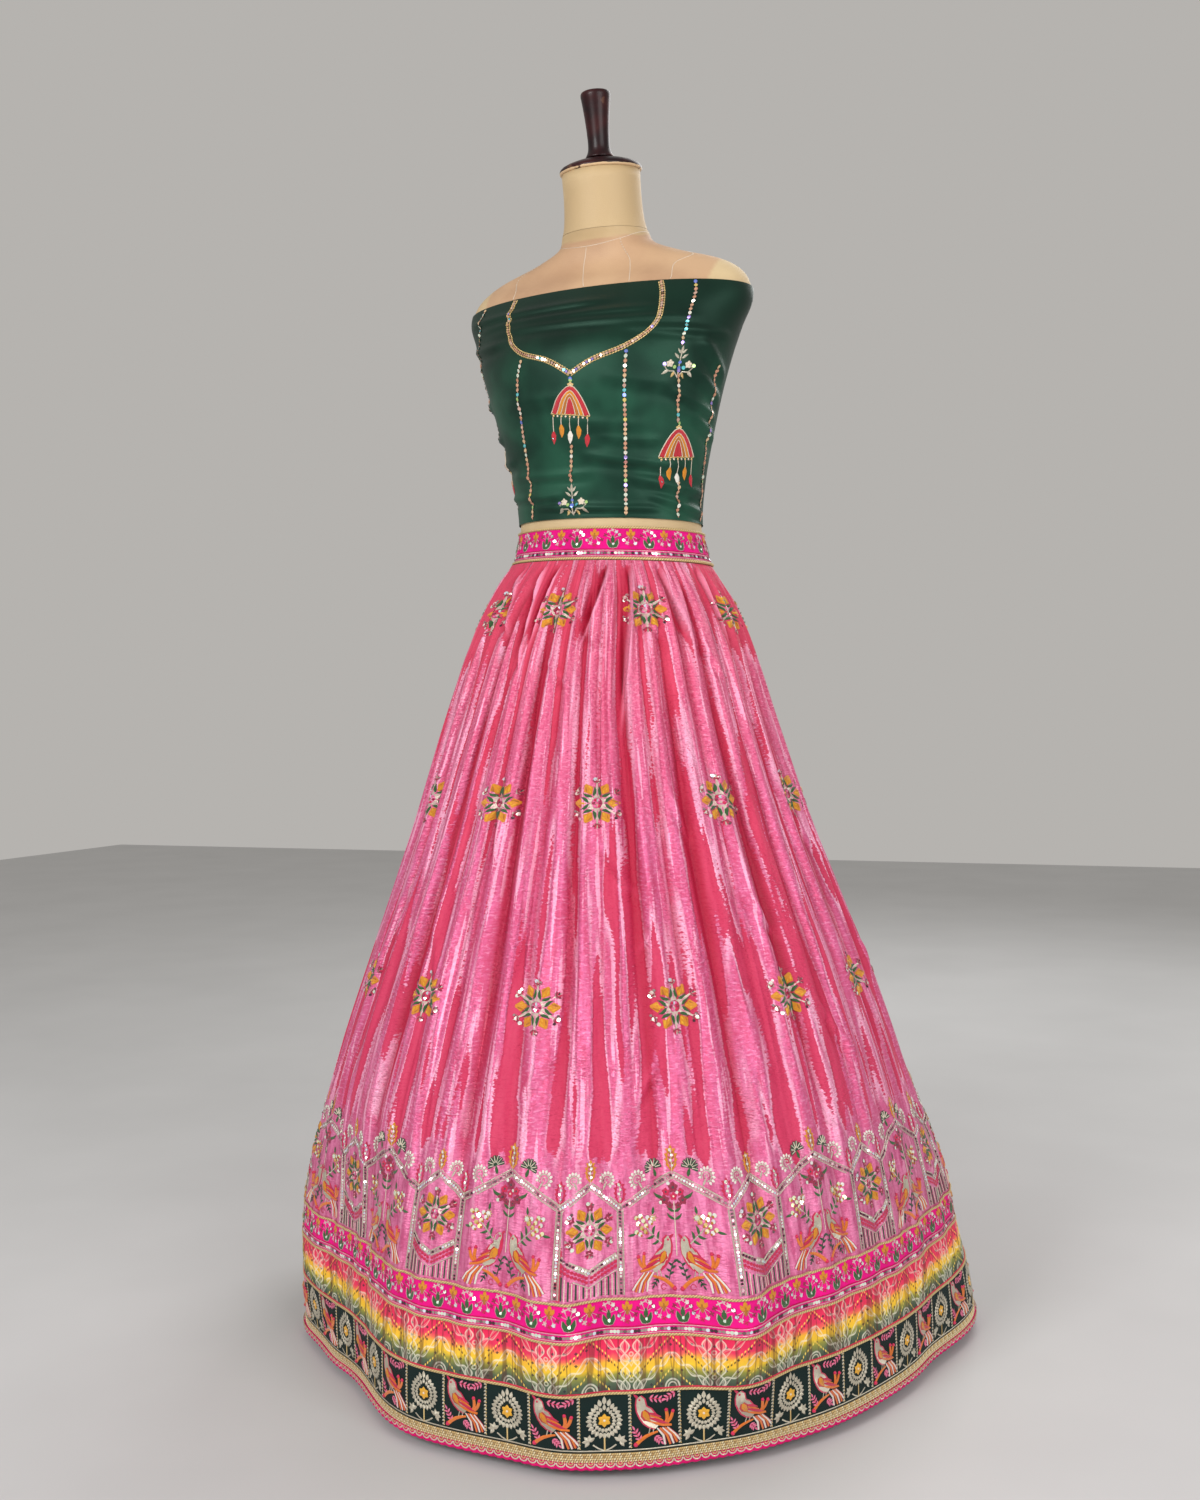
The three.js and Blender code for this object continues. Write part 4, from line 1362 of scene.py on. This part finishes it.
def ribbon_repeat(pitch):
    """The pink ribbon: a green tulip, a hanging yellow flower, and a row of sequins under them."""
    strip = Motif()
    half = pitch / 2
    for y, width, colour in ((2.2, 1.0, PALE), (9.0, 1.0, PALE), (10.6, 0.8, CRIMSON)):
        strip.line(straight(-half, y, half, y, 5), width, colour)
    for k in range(11):
        tints = SEQUIN_TINTS if k in (3, 4, 5, 9) else DARK_TINTS
        strip.sequin(-half + (k + 0.5) * pitch / 11, 5.6, 4.0, tints)
    tulip = Motif().leaf((0, 18), (0, 28.5), 5.0, GREEN, rise=1.3)
    bloom = Motif().leaf((0, 31), (0, 37.6), 4.8, MUSTARD, rise=1.3)
    bloom.leaf((0, 32), (0, 22.4), 6.0, OCHRE, rise=1.2)
    tiny_flowers = [
        # plant, x, y, share of x and height where its stem starts, the stem's end above it, colour
        (tulip, 4.4, 33.4, 0.2, 25, -1, PALE),
        (tulip, 8.6, 28.6, 0.2, 25, -1, MAROON),
        (bloom, 4.8, 18.4, 0.3, 27, 1, PALE),
        (bloom, 8.8, 23, 0.3, 27, 1, MAROON),
    ]
    for sign in (-1, 1):
        petal = [(0, 13.6), (sign * 2.6, 14.8), (sign * 4.4, 18), (sign * 5.6, 23.2)]
        tulip.blade(petal, [4.6, 6.4, 5.0, 0.6], GREEN, 1.4)
        tulip.line([(0, 11.6), (sign * 4.6, 13), (sign * 7.0, 18), (sign * 6.6, 23.4)], 0.8, PALE)
        bloom.leaf((0, 28.6), (sign * 5.2, 33.8), 5.0, MUSTARD, bend=-sign * 0.12, rise=1.4)
        for plant, x, y, share, root, off, colour in tiny_flowers:
            plant.line([(sign * x * share, root), (sign * x * 0.9, y + off)], 0.7, PALE)
            plant.add(cross(colour, 4.6), sign * x, y)
    tulip.add(cross(PALE, 4.2), 0, 35.4).sequin(0.6, 17, 3.4).sequin(4.8, 32.6, 3.8).sequin(8.4, 29, 3.8)
    bloom.add(cross(CRIMSON, 4.2), 0, 15.8).leaf((0, 24.6), (0, 33), 2.4, OCHRE, rise=1.8)
    bloom.bead(0, 30, 2.2, DARK_GREEN).sequin(-8.8, 22, 3.8).sequin(5, 17.8, 3.8)
    return strip.add(tulip, -pitch / 4).add(bloom, pitch / 4)


def medallion():
    """A pointed wreath of beads round a yellow flower, on a stem with two side flowers."""
    wreath = Motif()
    for count, inner, outer, width in ((24, 11.8, 17.4, 4.2), (19, 7.6, 11.8, 3.4)):
        for k in range(count):
            from_top = turned_from(360 * k / count, 0)
            point = 1 + 0.3 * math.exp(-((math.radians(from_top) * 2.6) ** 2))
            x, y = spoke(point, from_top + 90)
            wreath.metal_leaf((x * inner, y * inner), (x * outer, y * outer), width, rise=1.0)
    for k in range(6):
        wreath.leaf(spoke(1, 60 * k + 30), spoke(6.4, 60 * k + 30), 4.8, YELLOW, rise=1.2)
    wreath.bead(0, 0, 3.0, CREAM).line(straight(0, -16, 0, -29.5, 3), 1.5, GOLD_THREAD)
    for sign in (-1, 1):
        wreath.line([(0, -29), (sign * 6, -26.4), (sign * 11, -23)], 1.4)
        for turn in (-100, -50, 0, 50, 100):
            x, y = spoke(6.6, 90 - sign * 45 + turn)
            wreath.metal_leaf((sign * 14.6, -19.6), (sign * 14.6 + x, y - 19.6), 3.8, rise=1.1)
    return wreath


def band_repeat(pitch):
    """The dark green band: a bird's cell and a medallion's, each with a beaded line at its side."""
    half = pitch / 2
    strip = Motif().add(bird(), 1.6 - half, 3.2, scale=0.8).add(medallion(), half / 2, 33.8, scale=1.08)
    sprigs = ((20, 54.5, 14, -100), (48, 58, 12, 118), (10.5, 12, 12, 28), (26, 14.5, 8, -135))
    for x, y, length, turn in sprigs:
        strip.add(sprig(length, 5.2, ROSE, 3, CRIMSON), x - half, y, turn=turn)
    strip.line(straight(-half, 2.4, half, 2.4, 7), 1.4)
    for x in (0, half):
        for y in 5 + 3.75 * np.arange(15):
            strip.metal_leaf((x - 1.3, y), (x + 1.5, y + 2.6), 2.2, rise=1.1)
            strip.bead(x + 1.1, y + 0.2, 1.7, GOLD_THREAD, ZARI)
    return strip


def lace_repeat(pitch):
    """The lace edge: rows of knots in bright and dull gold."""
    knots = Motif()
    for row in range(4):
        for k in range(4):
            x = pitch * (k - 1.5 + 0.5 * (row % 2)) / 4 + rng.uniform(-0.3, 0.3)
            y = 1.8 + 2.5 * row
            colour = LACE_TINTS[rng.integers(4)]
            knots.leaf((x - 1.0, y - 0.9), (x + 1.1, y + 1.1), 1.8, colour, rise=1.0)
    return knots


def scallop(pitch):
    """A loop of cord that hangs over the piping."""
    loop = Motif().line(round_points(0, 1.6, pitch * 0.45, 180, 360, 7), 1.5, CREAM)
    return loop.line(round_points(0, 2.4, pitch * 0.24, 180, 360, 5), 1.3, GOLD_THREAD)


def jhumka():
    """A bell-shaped earring with five drops, hung from its origin."""
    bell = Motif().add(floret(GOLD_THREAD, 9), 0, -5).sequin(0, 1, 4.4, GEM_TINTS)
    bands = [
        # half-width of an arch of the bell, its thread's width and colour
        (25, 1.3, CREAM),
        (21.2, 6.8, RED),
        (17.4, 1.3, CREAM),
        (14.8, 4.2, MUSTARD),
        (12.2, 1.3, CREAM),
        (9.4, 4.4, OCHRE),
        (6.8, 1.2, CREAM),
        (3, 6.2, RED),
    ]
    across = np.cos(np.radians(np.linspace(0, 180, 17)))
    for half, width, colour in bands:
        height = (35.0 - (25 - half) * 0.8) * (1 - np.abs(across) ** 1.6)
        arch = np.column_stack([1.14 * half * across, height - 40])
        bell.blade(arch, width, colour, rise=0.6 + half * 0.03)
    bell.line(straight(-29, -40.5, 29, -40.5, 5), 1.6, GOLD_THREAD)
    for k in range(9):
        bell.bead(-25 + 6.25 * k, -43, 3.2, (GOLD_THREAD, CREAM)[k % 2], ZARI)
    for k, (drop, long) in enumerate(((RED, 19), (MUSTARD, 10), (WHITE, 17), (MUSTARD, 10), (RED, 19))):
        x = -26 + 13 * k
        bell.line(straight(x, -44, x, -44 - long, 3), 1.2, CREAM, THREAD)
        bell.leaf((x, -43 - long), (x, -59 - long), 8.0, drop, rise=1.6)
        bell.sequin(x, -51 - long, 2.8, GEM_TINTS)
    return bell


def posy():
    """A spray of flowers and scrolls, grown from its origin."""
    spray = Motif()
    for sign in (-1, 1):
        spray.line([(0, 1), (sign * 6, 8), (sign * 14, 8), (sign * 18, 13), (sign * 14, 17)], 1.7)
        spray.metal_leaf((sign * 5, 7), (sign * 9, 0), 3.8, GOLD_THREAD)
        spray.metal_leaf((sign * 13, 9), (sign * 21, 3), 3.8)
        spray.add(floret(CREAM, 10), sign * 12, 17)
        spray.sequin(sign * 19, 16, 4.6, GEM_TINTS).sequin(sign * 6, 13, 4.6, GEM_TINTS)
        spray.metal_leaf((sign * 2, 24), (sign * 9, 30), 3.2).metal_leaf((sign, 30), (sign * 6, 36), 2.8)
    spray.line(straight(0, 0, 0, 32, 5), 1.6).metal_leaf((0, 31), (0, 40), 3.4)
    return spray.sequin(0, 12, 5.2, GEM_TINTS).sequin(0, 19, 4.2, GEM_TINTS)


def braid(tints):
    """Stitches of the neckline's braid: a sequin between two slanted cord stitches."""
    stitches = []
    for tint in tints:
        stitch = Motif().sequin(0, 0, 3.6, [tint]).bead(0, 0, 1.2, GOLD_THREAD, ZARI)
        for sign in (-1, 1):
            stitch.metal_leaf((sign * 2.9, -2.2), (sign * 2.5, 2.2), 2.1, GOLD_THREAD, rise=1.1)
        stitches.append(stitch)
    return stitches


def beaded_sequins(tints):
    """Stitches of a line of sequins: a disc held by a bead, with two knots before the next."""
    return [
        Motif().sequin(0, 0, 4.8, [tint]).bead(0, 0, 1.7, GOLD_THREAD, ZARI).bead(0, 3, 1.8, OLD_ROSE, ZARI)
        for tint in tints
    ]


def run(motifs, surface, path, pitch):
    """Stitches set along a path of (angle, z), each turned the way the path goes."""
    share = np.linspace(0, len(path) - 1, 40 * len(path))
    angle, z = curve([(i, *point) for i, point in enumerate(path)], share).T
    walked = np.concatenate([[0], np.linalg.norm(np.diff(surface(angle, z), axis=0), axis=1).cumsum()])
    count = max(1, round(walked[-1] / pitch))
    at = (np.arange(count) + 0.5) * walked[-1] / count
    here, before, after = (
        (np.interp(at + step, walked, angle), np.interp(at + step, walked, z)) for step in (0, -2, 2)
    )
    over = np.linalg.norm(surface(here[0] + 1, here[1]) - surface(here[0] - 1, here[1]), axis=-1) / 2
    turns = np.degrees(np.arctan2((before[0] - after[0]) * over, after[1] - before[1]))
    kinds = rng.integers(len(motifs), size=count)
    return [
        (Motif().add(motifs[kind], turn=turn), place, height)
        for kind, turn, place, height in zip(kinds, turns, *here)
    ]


def sew(name, surface, stitches, across=None, lift=0.0):
    """Joins stitches, each a motif with its origin's angle and z, into one mesh on a surface.

    across is the millimetres to a degree, where a pattern has to meet itself all round.
    """
    angle, z = (np.array([stitch[i] for stitch in stitches], float) for i in (1, 2))
    over = np.linalg.norm(surface(angle + 3, z) - surface(angle - 3, z), axis=-1) / (2 * 3)
    over = np.full(len(angle), across) if across else over
    upward = np.linalg.norm(surface(angle, z + 5) - surface(angle, z - 5), axis=-1) / (2 * 5)
    whole = {motif: motif.merged() for motif, _, _ in stitches}
    parts, start = [], 0
    for (motif, _, _), a, height, x_scale, y_scale in zip(stitches, angle, z, over, upward):
        points, uv, faces, colours, kinds = whole[motif]
        x, y, out = points.T
        place = np.column_stack([a + x / x_scale, height + y / y_scale, out + lift])
        parts.append((place, uv, faces + start, colours, kinds))
        start += len(points)
    place, uv, faces, colours, kinds = (np.concatenate(part) for part in zip(*parts))
    points = stand_out(surface, *place.T)
    piece = new_object(name, points, faces.tolist(), [thread_finish, zari_finish, sequin_finish])
    piece.data.polygons.foreach_set("material_index", kinds)
    set_uv(piece.data, uv)
    tint = piece.data.color_attributes.new("Thread", "FLOAT_COLOR", "POINT")
    tint.data.foreach_set("color", np.column_stack([colours, np.ones(len(colours))]).ravel())


def sew_round(name, motif, count, pitch, z, start=0.0, lift=0.0, surface=skirt):
    """Sews a motif evenly all round, so close that each of its pitches meets the next."""
    ring = [(motif, start + 360 * k / count, z) for k in range(count)]
    sew(name, surface, ring, pitch * count / 360, lift)


def stitched(name, roughness, metallic, **sockets):
    """A finish whose colour comes from each stitch's own, with painted shade and light along the thread's
    twist.
    """
    finish = Finish(name, (0.5, 0.5, 0.5), roughness, Metallic=metallic, **sockets)
    u, v = finish.uv()
    twist = ((u * (2 * math.pi / 0.0011)) + v * 4).sin() * 0.5 + 0.5
    mottle = finish.noise(finish.place(), 600.0, 2.0)
    # darker in the twist's grooves and lighter on its crowns: painted shade and light; the mottle is random
    # tone
    shade = finish.blend(mottle * 0.5 + twist * 0.5, (0.62,) * 3, (1.12,) * 3)
    finish.set("Base Color", finish.blend(1.0, finish.attribute("Thread", "Color"), shade, "MULTIPLY"))
    finish.bump(twist, 0.0003)
    return finish.material


thread_finish = stitched("embroidery_thread", 0.5, 0.0, Sheen_Weight=0.2)
zari_finish = stitched("zari_thread", 0.32, 0.55)


def sequins():
    """Shiny discs, each in its stitch's own colour."""
    finish = Finish("sequins", (0.9, 0.9, 0.88), 0.16, Metallic=0.55)
    finish.set("Base Color", finish.attribute("Thread", "Color"))
    finish.set("Roughness", finish.noise(finish.place(), 200.0) * 0.2 + 0.08)
    return finish.material


sequin_finish = sequins()

BUTI_ROWS = [
    # z, angles of the flowers
    (938, (-44, -4, 38, 84, 112, 140, 168, 197, 226, 254, 284)),
    (702, (-46, -12, 18, 54, 87, 115, 144, 172, 201, 229, 257, 286)),
    (477, (-48, -21, 6, 33, 59, 85, 112, 139, 166, 194, 221, 249, 277)),
]
REPEAT_ANGLE = 360 / REPEATS
ARCH_START = 30.0
HEXAGON_START = ARCH_START - REPEAT_ANGLE / 2
flower = buti()
sew("butis", skirt, [(flower, angle, z) for z, angles in BUTI_ROWS for angle in angles])
sew_round("border_arches", border_arch(), REPEATS, REPEAT, RIBBON_TOP + 3, ARCH_START)
sew_round("border_hexagons", border_hexagon(), REPEATS, REPEAT, RIBBON_TOP + 3, HEXAGON_START)
across = REPEAT / REPEAT_ANGLE
reach = (HEXAGON + COLUMN) / 2 / across
junctions = [
    (finial(24, CRIMSON, PINK), start + REPEAT_ANGLE * k, RIBBON_TOP + JUNCTION + 7)
    for k in range(REPEATS)
    for start in (HEXAGON_START - reach, HEXAGON_START + reach)
]
sew("border_leaves", skirt, junctions, across)
STRIP_FIGURES = [
    # name, builder, count, pitch, z, start, lift, surface
    ("ribbon_flowers", ribbon_repeat, RIBBON_REPEATS, 40.0, TIE_DYE_TOP + 0.5, 0.0, STRIP_PUSH, skirt),
    ("green_band_figures", band_repeat, BAND_REPEATS, 104.0, LACE_TOP, 1.8, STRIP_PUSH, skirt),
    ("hem_lace_knots", lace_repeat, LACE_REPEATS, 10.0, PIPING_TOP - 0.5, 0.0, STRIP_PUSH, skirt),
    ("hem_lace_loops", scallop, LACE_REPEATS, 10.0, PIPING_TOP - 0.4, 0.0, 3.5, skirt),
    ("waistband_flowers", ribbon_repeat, WAIST_REPEATS, 44.0, WAIST_LOW - 0.5, 3.0, 1.6, waist),
]
for name, builder, count, pitch, *place in STRIP_FIGURES:
    sew_round(name, builder(pitch), count, pitch, *place)

NECKLINE = [
    # angle, z: both halves meet in a point at the front
    [(-30, 1353), (-32, 1320), (-31, 1292), (-24, 1270), (-10, 1254), (1, 1234)],
    [(1, 1234), (11, 1249), (25, 1264), (34, 1284), (36, 1308), (31, 1353)],
]
SEQUIN_LINES = [
    # each from its top to its foot
    [(-50, 1353), (-60, 1310), (-74, 1240), (-78, 1170), (-80, 1062)],
    [(-24, 1262), (-29, 1230), (-33, 1166), (-38, 1062)],
    [(1, 1232), (1, 1224)],
    [(-2, 1150), (-5, 1104)],
    [(26, 1260), (27, 1160), (27, 1062)],
    [(46, 1353), (49, 1320), (52, 1266)],
    [(53, 1238), (55, 1210), (57, 1174)],
    [(61, 1106), (62, 1084), (63, 1062)],
    [(80, 1250), (86, 1180), (92, 1062)],
    [(118, 1353), (121, 1200), (122, 1062)],
    [(146, 1353), (147, 1200), (148, 1062)],
    [(212, 1353), (211, 1200), (210, 1062)],
    [(240, 1353), (238, 1200), (236, 1062)],
]


def blouse_embroidery():
    """Sequinned lines, the cord that marks the neckline, hanging earrings and small sprays."""
    stitches = []
    braid_tints = ROSE_TINTS * 4 + GEM_TINTS[:2]
    line_tints = ROSE_TINTS * 3 + SEQUIN_TINTS[1:3] * 2 + GEM_TINTS
    for path in NECKLINE:
        stitches += run(braid(braid_tints), blouse, path, 3.9)
    for path in SEQUIN_LINES:
        stitches += run(beaded_sequins(line_tints), blouse, path, 6.0)
    earring, spray = jhumka(), posy()
    for angle, z, turn in ((1, 1225, -8), (58, 1172, 5), (-80, 1172, 0)):
        stitches.append((Motif().add(earring, turn=turn), angle, z))
    stitches += [(spray, -5, 1062), (spray, 53, 1226), (spray, -78, 1262)]
    sew("blouse_embroidery", blouse, stitches)


blouse_embroidery()

FORM_SEAMS = [
    # each a path of angle and z over the form
    [(-33, 1426), (-13, 1423), (3, 1423), (20, 1426), (40, 1431), (70, 1439), (110, 1443), (150, 1445),
     (180, 1446)],
    [(-33, 1426), (-60, 1431), (-91, 1437), (-120, 1442), (-150, 1445), (-180, 1446)],
    [(-6, 1421), (-4, 1392), (-1, 1365), (0, 1357)],
    [(34, 1430), (24, 1413), (18, 1388), (18, 1357)],
    [(79, 1411), (62, 1400), (39, 1384), (35, 1357)],
    [(-52, 1412), (-44, 1394), (-35, 1373), (-33, 1357)],
    [(118, 1412), (126, 1400), (148, 1384), (156, 1357)],
    [(242, 1412), (236, 1400), (214, 1384), (206, 1357)],
]
seam = Motif().line(straight(0, -2.1, 0, 2.1, 2), 0.9, CREAM, THREAD)
seam_stitches = [stitch for path in FORM_SEAMS for stitch in run([seam], form, path, 4.0)]
sew("form_seams", form, seam_stitches, lift=-0.35)

# ---- Dress form and stand ----------------------------------------------------------------------


def dress_form():
    """The form's padded body. Its tan cover ends at the neck's seam and at the arm plates."""
    foot, shoulder = FORM_SECTIONS[0][0], 1340
    heights = np.concatenate([np.arange(foot, shoulder, 14), np.arange(shoulder, NECK_Z, 3.2), [NECK_Z]])
    angles = np.linspace(0, 360, 181)[:-1]
    a, z = np.meshgrid(angles, heights)
    points = form(a, z).reshape(-1, 3)
    underside = list(range(len(angles)))[::-1]
    faces = [*grid_faces(*a.shape, closed=True).tolist(), underside]
    piece = new_object("form_shell", points, faces, [canvas_cloth], replaces=["form_body"], slot="canvas")
    x, y, z = points.T
    before_plate = PLATE_X - (PLATE_Z - z) * PLATE_SLOPE - np.abs(x)
    below_neck = NECK_SEAM_Z + NECK_SEAM_SLOPE * y - z
    tan = smooth(below_neck / 2) * smooth(before_plate / 3) * smooth((z - TAN_LOW) / 20)
    set_values(piece, "Tan", tan)


dress_form()
neck_place = Matrix.Translation((0, 0, NECK_Z)) @ Matrix.Rotation(math.radians(NECK_TILT), 4, "X")
iron = metal("black_iron", linear(44, 46, 48), 0.5, 0.4)
steel = metal("steel_tube", linear(176, 178, 180), 0.3, 1.0)

# profiles of the turned pieces: rows of radius and height
NECK_PROFILE = [
    (57, 0.3), (55.5, 5), (54, 12), (52.8, 22), (52, 34), (51.5, 50), (51.7, 64), (52, 77), (0, 77),
]
CAP_PROFILE = [
    (0, 77.3), (52.5, 77.3), (54, 78.2), (54.5, 79.5), (54.5, 81.6), (53.6, 83.4), (51.5, 85.3), (46, 88),
    (36, 91.4), (26, 93.8), (17.5, 95.6), (0, 96.3),
]
HANDLE_PROFILE = [
    (0, 96.6), (18.2, 96.6), (19, 97.4), (18.4, 99), (16.6, 102), (15.2, 105.5), (14.6, 109), (14.3, 114),
    (14.4, 120), (15.1, 133), (16.3, 147), (17.8, 160), (19.1, 170), (19.8, 174), (19.6, 177), (18.6, 179),
    (16.4, 180.2), (12.5, 180.8), (0, 181),
]
BASE_PROFILE = [
    (0, 0), (163, 0), (164.5, 1), (165, 3), (165, 8), (164, 9.6), (160, 11), (110, 12.6), (60, 15),
    (44, 17), (34, 20), (29, 26), (27, 32), (26, 34), (0, 34),
]
POLE_PROFILE = [(0, 34.3), (15.5, 34.3), (16, 35), (16, 779), (15.5, 779.7), (0, 779.7)]
turned("neck", NECK_PROFILE, neck_place, canvas_cloth, replaces=["form_neck"], slot="canvas")
cap = turned("neck_cap", CAP_PROFILE, neck_place, wood, replaces=["form_cap"], slot="dark_wood")
# the varnish has worn off round the cap's lower rim
set_values(cap, "Worn", [0.6 * (height < 80) for _, height in CAP_PROFILE for _ in range(TURNED_STEPS)])
turned("handle", HANDLE_PROFILE, neck_place, wood, replaces=["form_handle"], slot="dark_wood")
turned("base", BASE_PROFILE, Matrix(), iron, replaces=["stand_base"], slot="black_iron")
turned("pole", POLE_PROFILE, Matrix(), steel, steps=48, replaces=["stand_pole"], slot="steel_tube")

# ---- Camera, light and floor -------------------------------------------------------------------

AZIMUTH, DISTANCE, CAMERA_Z = math.radians(22), 1.97, 0.805
LOOK_DOWN, LOOK_LEFT, ROLL = math.radians(1.33), math.radians(0.55), math.radians(1.0)
SENSOR, LENS = 36, 35.2
FLOOR_REACH = 6


def camera():
    """The view from the wearer's left, with the camera turned and rolled a little."""
    back = Vector((math.sin(AZIMUTH), -math.cos(AZIMUTH), 0))
    rotation = (
        Matrix.Rotation(AZIMUTH + LOOK_LEFT, 4, "Z")
        @ Matrix.Rotation(math.radians(90) - LOOK_DOWN, 4, "X")
        @ Matrix.Rotation(-ROLL, 4, "Z")
    )
    data = bpy.data.cameras.new("camera")
    data.sensor_width, data.lens = SENSOR, LENS
    made = linked("camera", data)
    made.matrix_world = Matrix.Translation(back * DISTANCE + Vector((0, 0, CAMERA_Z))) @ rotation
    bpy.context.scene.camera = made


def area_light(name, place, target, size, watts):
    """A square light that faces a target."""
    data = bpy.data.lights.new(name, "AREA")
    data.shape, data.size, data.energy = "SQUARE", size, watts
    direction = Vector(target) - Vector(place)
    turn = direction.to_track_quat("-Z", "Y").to_matrix().to_4x4()
    linked(name, data).matrix_world = Matrix.Translation(place) @ turn


camera()
LIGHTS = [
    # name, place, target, size, watts
    ("key", (-0.9, -3.3, 2.2), (0, 0, 0.9), 1.2, 77),
    ("fill", (2.8, -2.0, 1.7), (0, 0, 0.8), 2.0, 62),
    ("back", (0.6, 2.6, 2.8), (0, 0, 1.0), 2.0, 45),
]
for light in LIGHTS:
    area_light(*light)

world = bpy.data.worlds.new("studio")
bpy.context.scene.world = world
world.use_nodes = True
background = world.node_tree.nodes["Background"]
background.inputs["Color"].default_value = (0.88, 0.85, 0.81, 1)
background.inputs["Strength"].default_value = 0.53
bpy.context.scene.view_settings.view_transform = "Standard"

floor_mesh = bpy.data.meshes.new("floor")
corners = [(x * FLOOR_REACH, y * FLOOR_REACH, 0) for x, y in ((-1, -1), (1, -1), (1, 1), (-1, 1))]
floor_mesh.from_pydata(corners, [], [(0, 1, 2, 3)])
floor = linked("floor", floor_mesh)
floor_finish = Finish("floor", (0.56, 0.56, 0.56), 0.75)
floor_grain = floor_finish.noise(floor_finish.place(), 3.0, 3.0)
floor_finish.set("Base Color", floor_finish.blend(floor_grain, (0.52, 0.52, 0.52), (0.6, 0.6, 0.6)))
floor_mesh.materials.append(floor_finish.material)
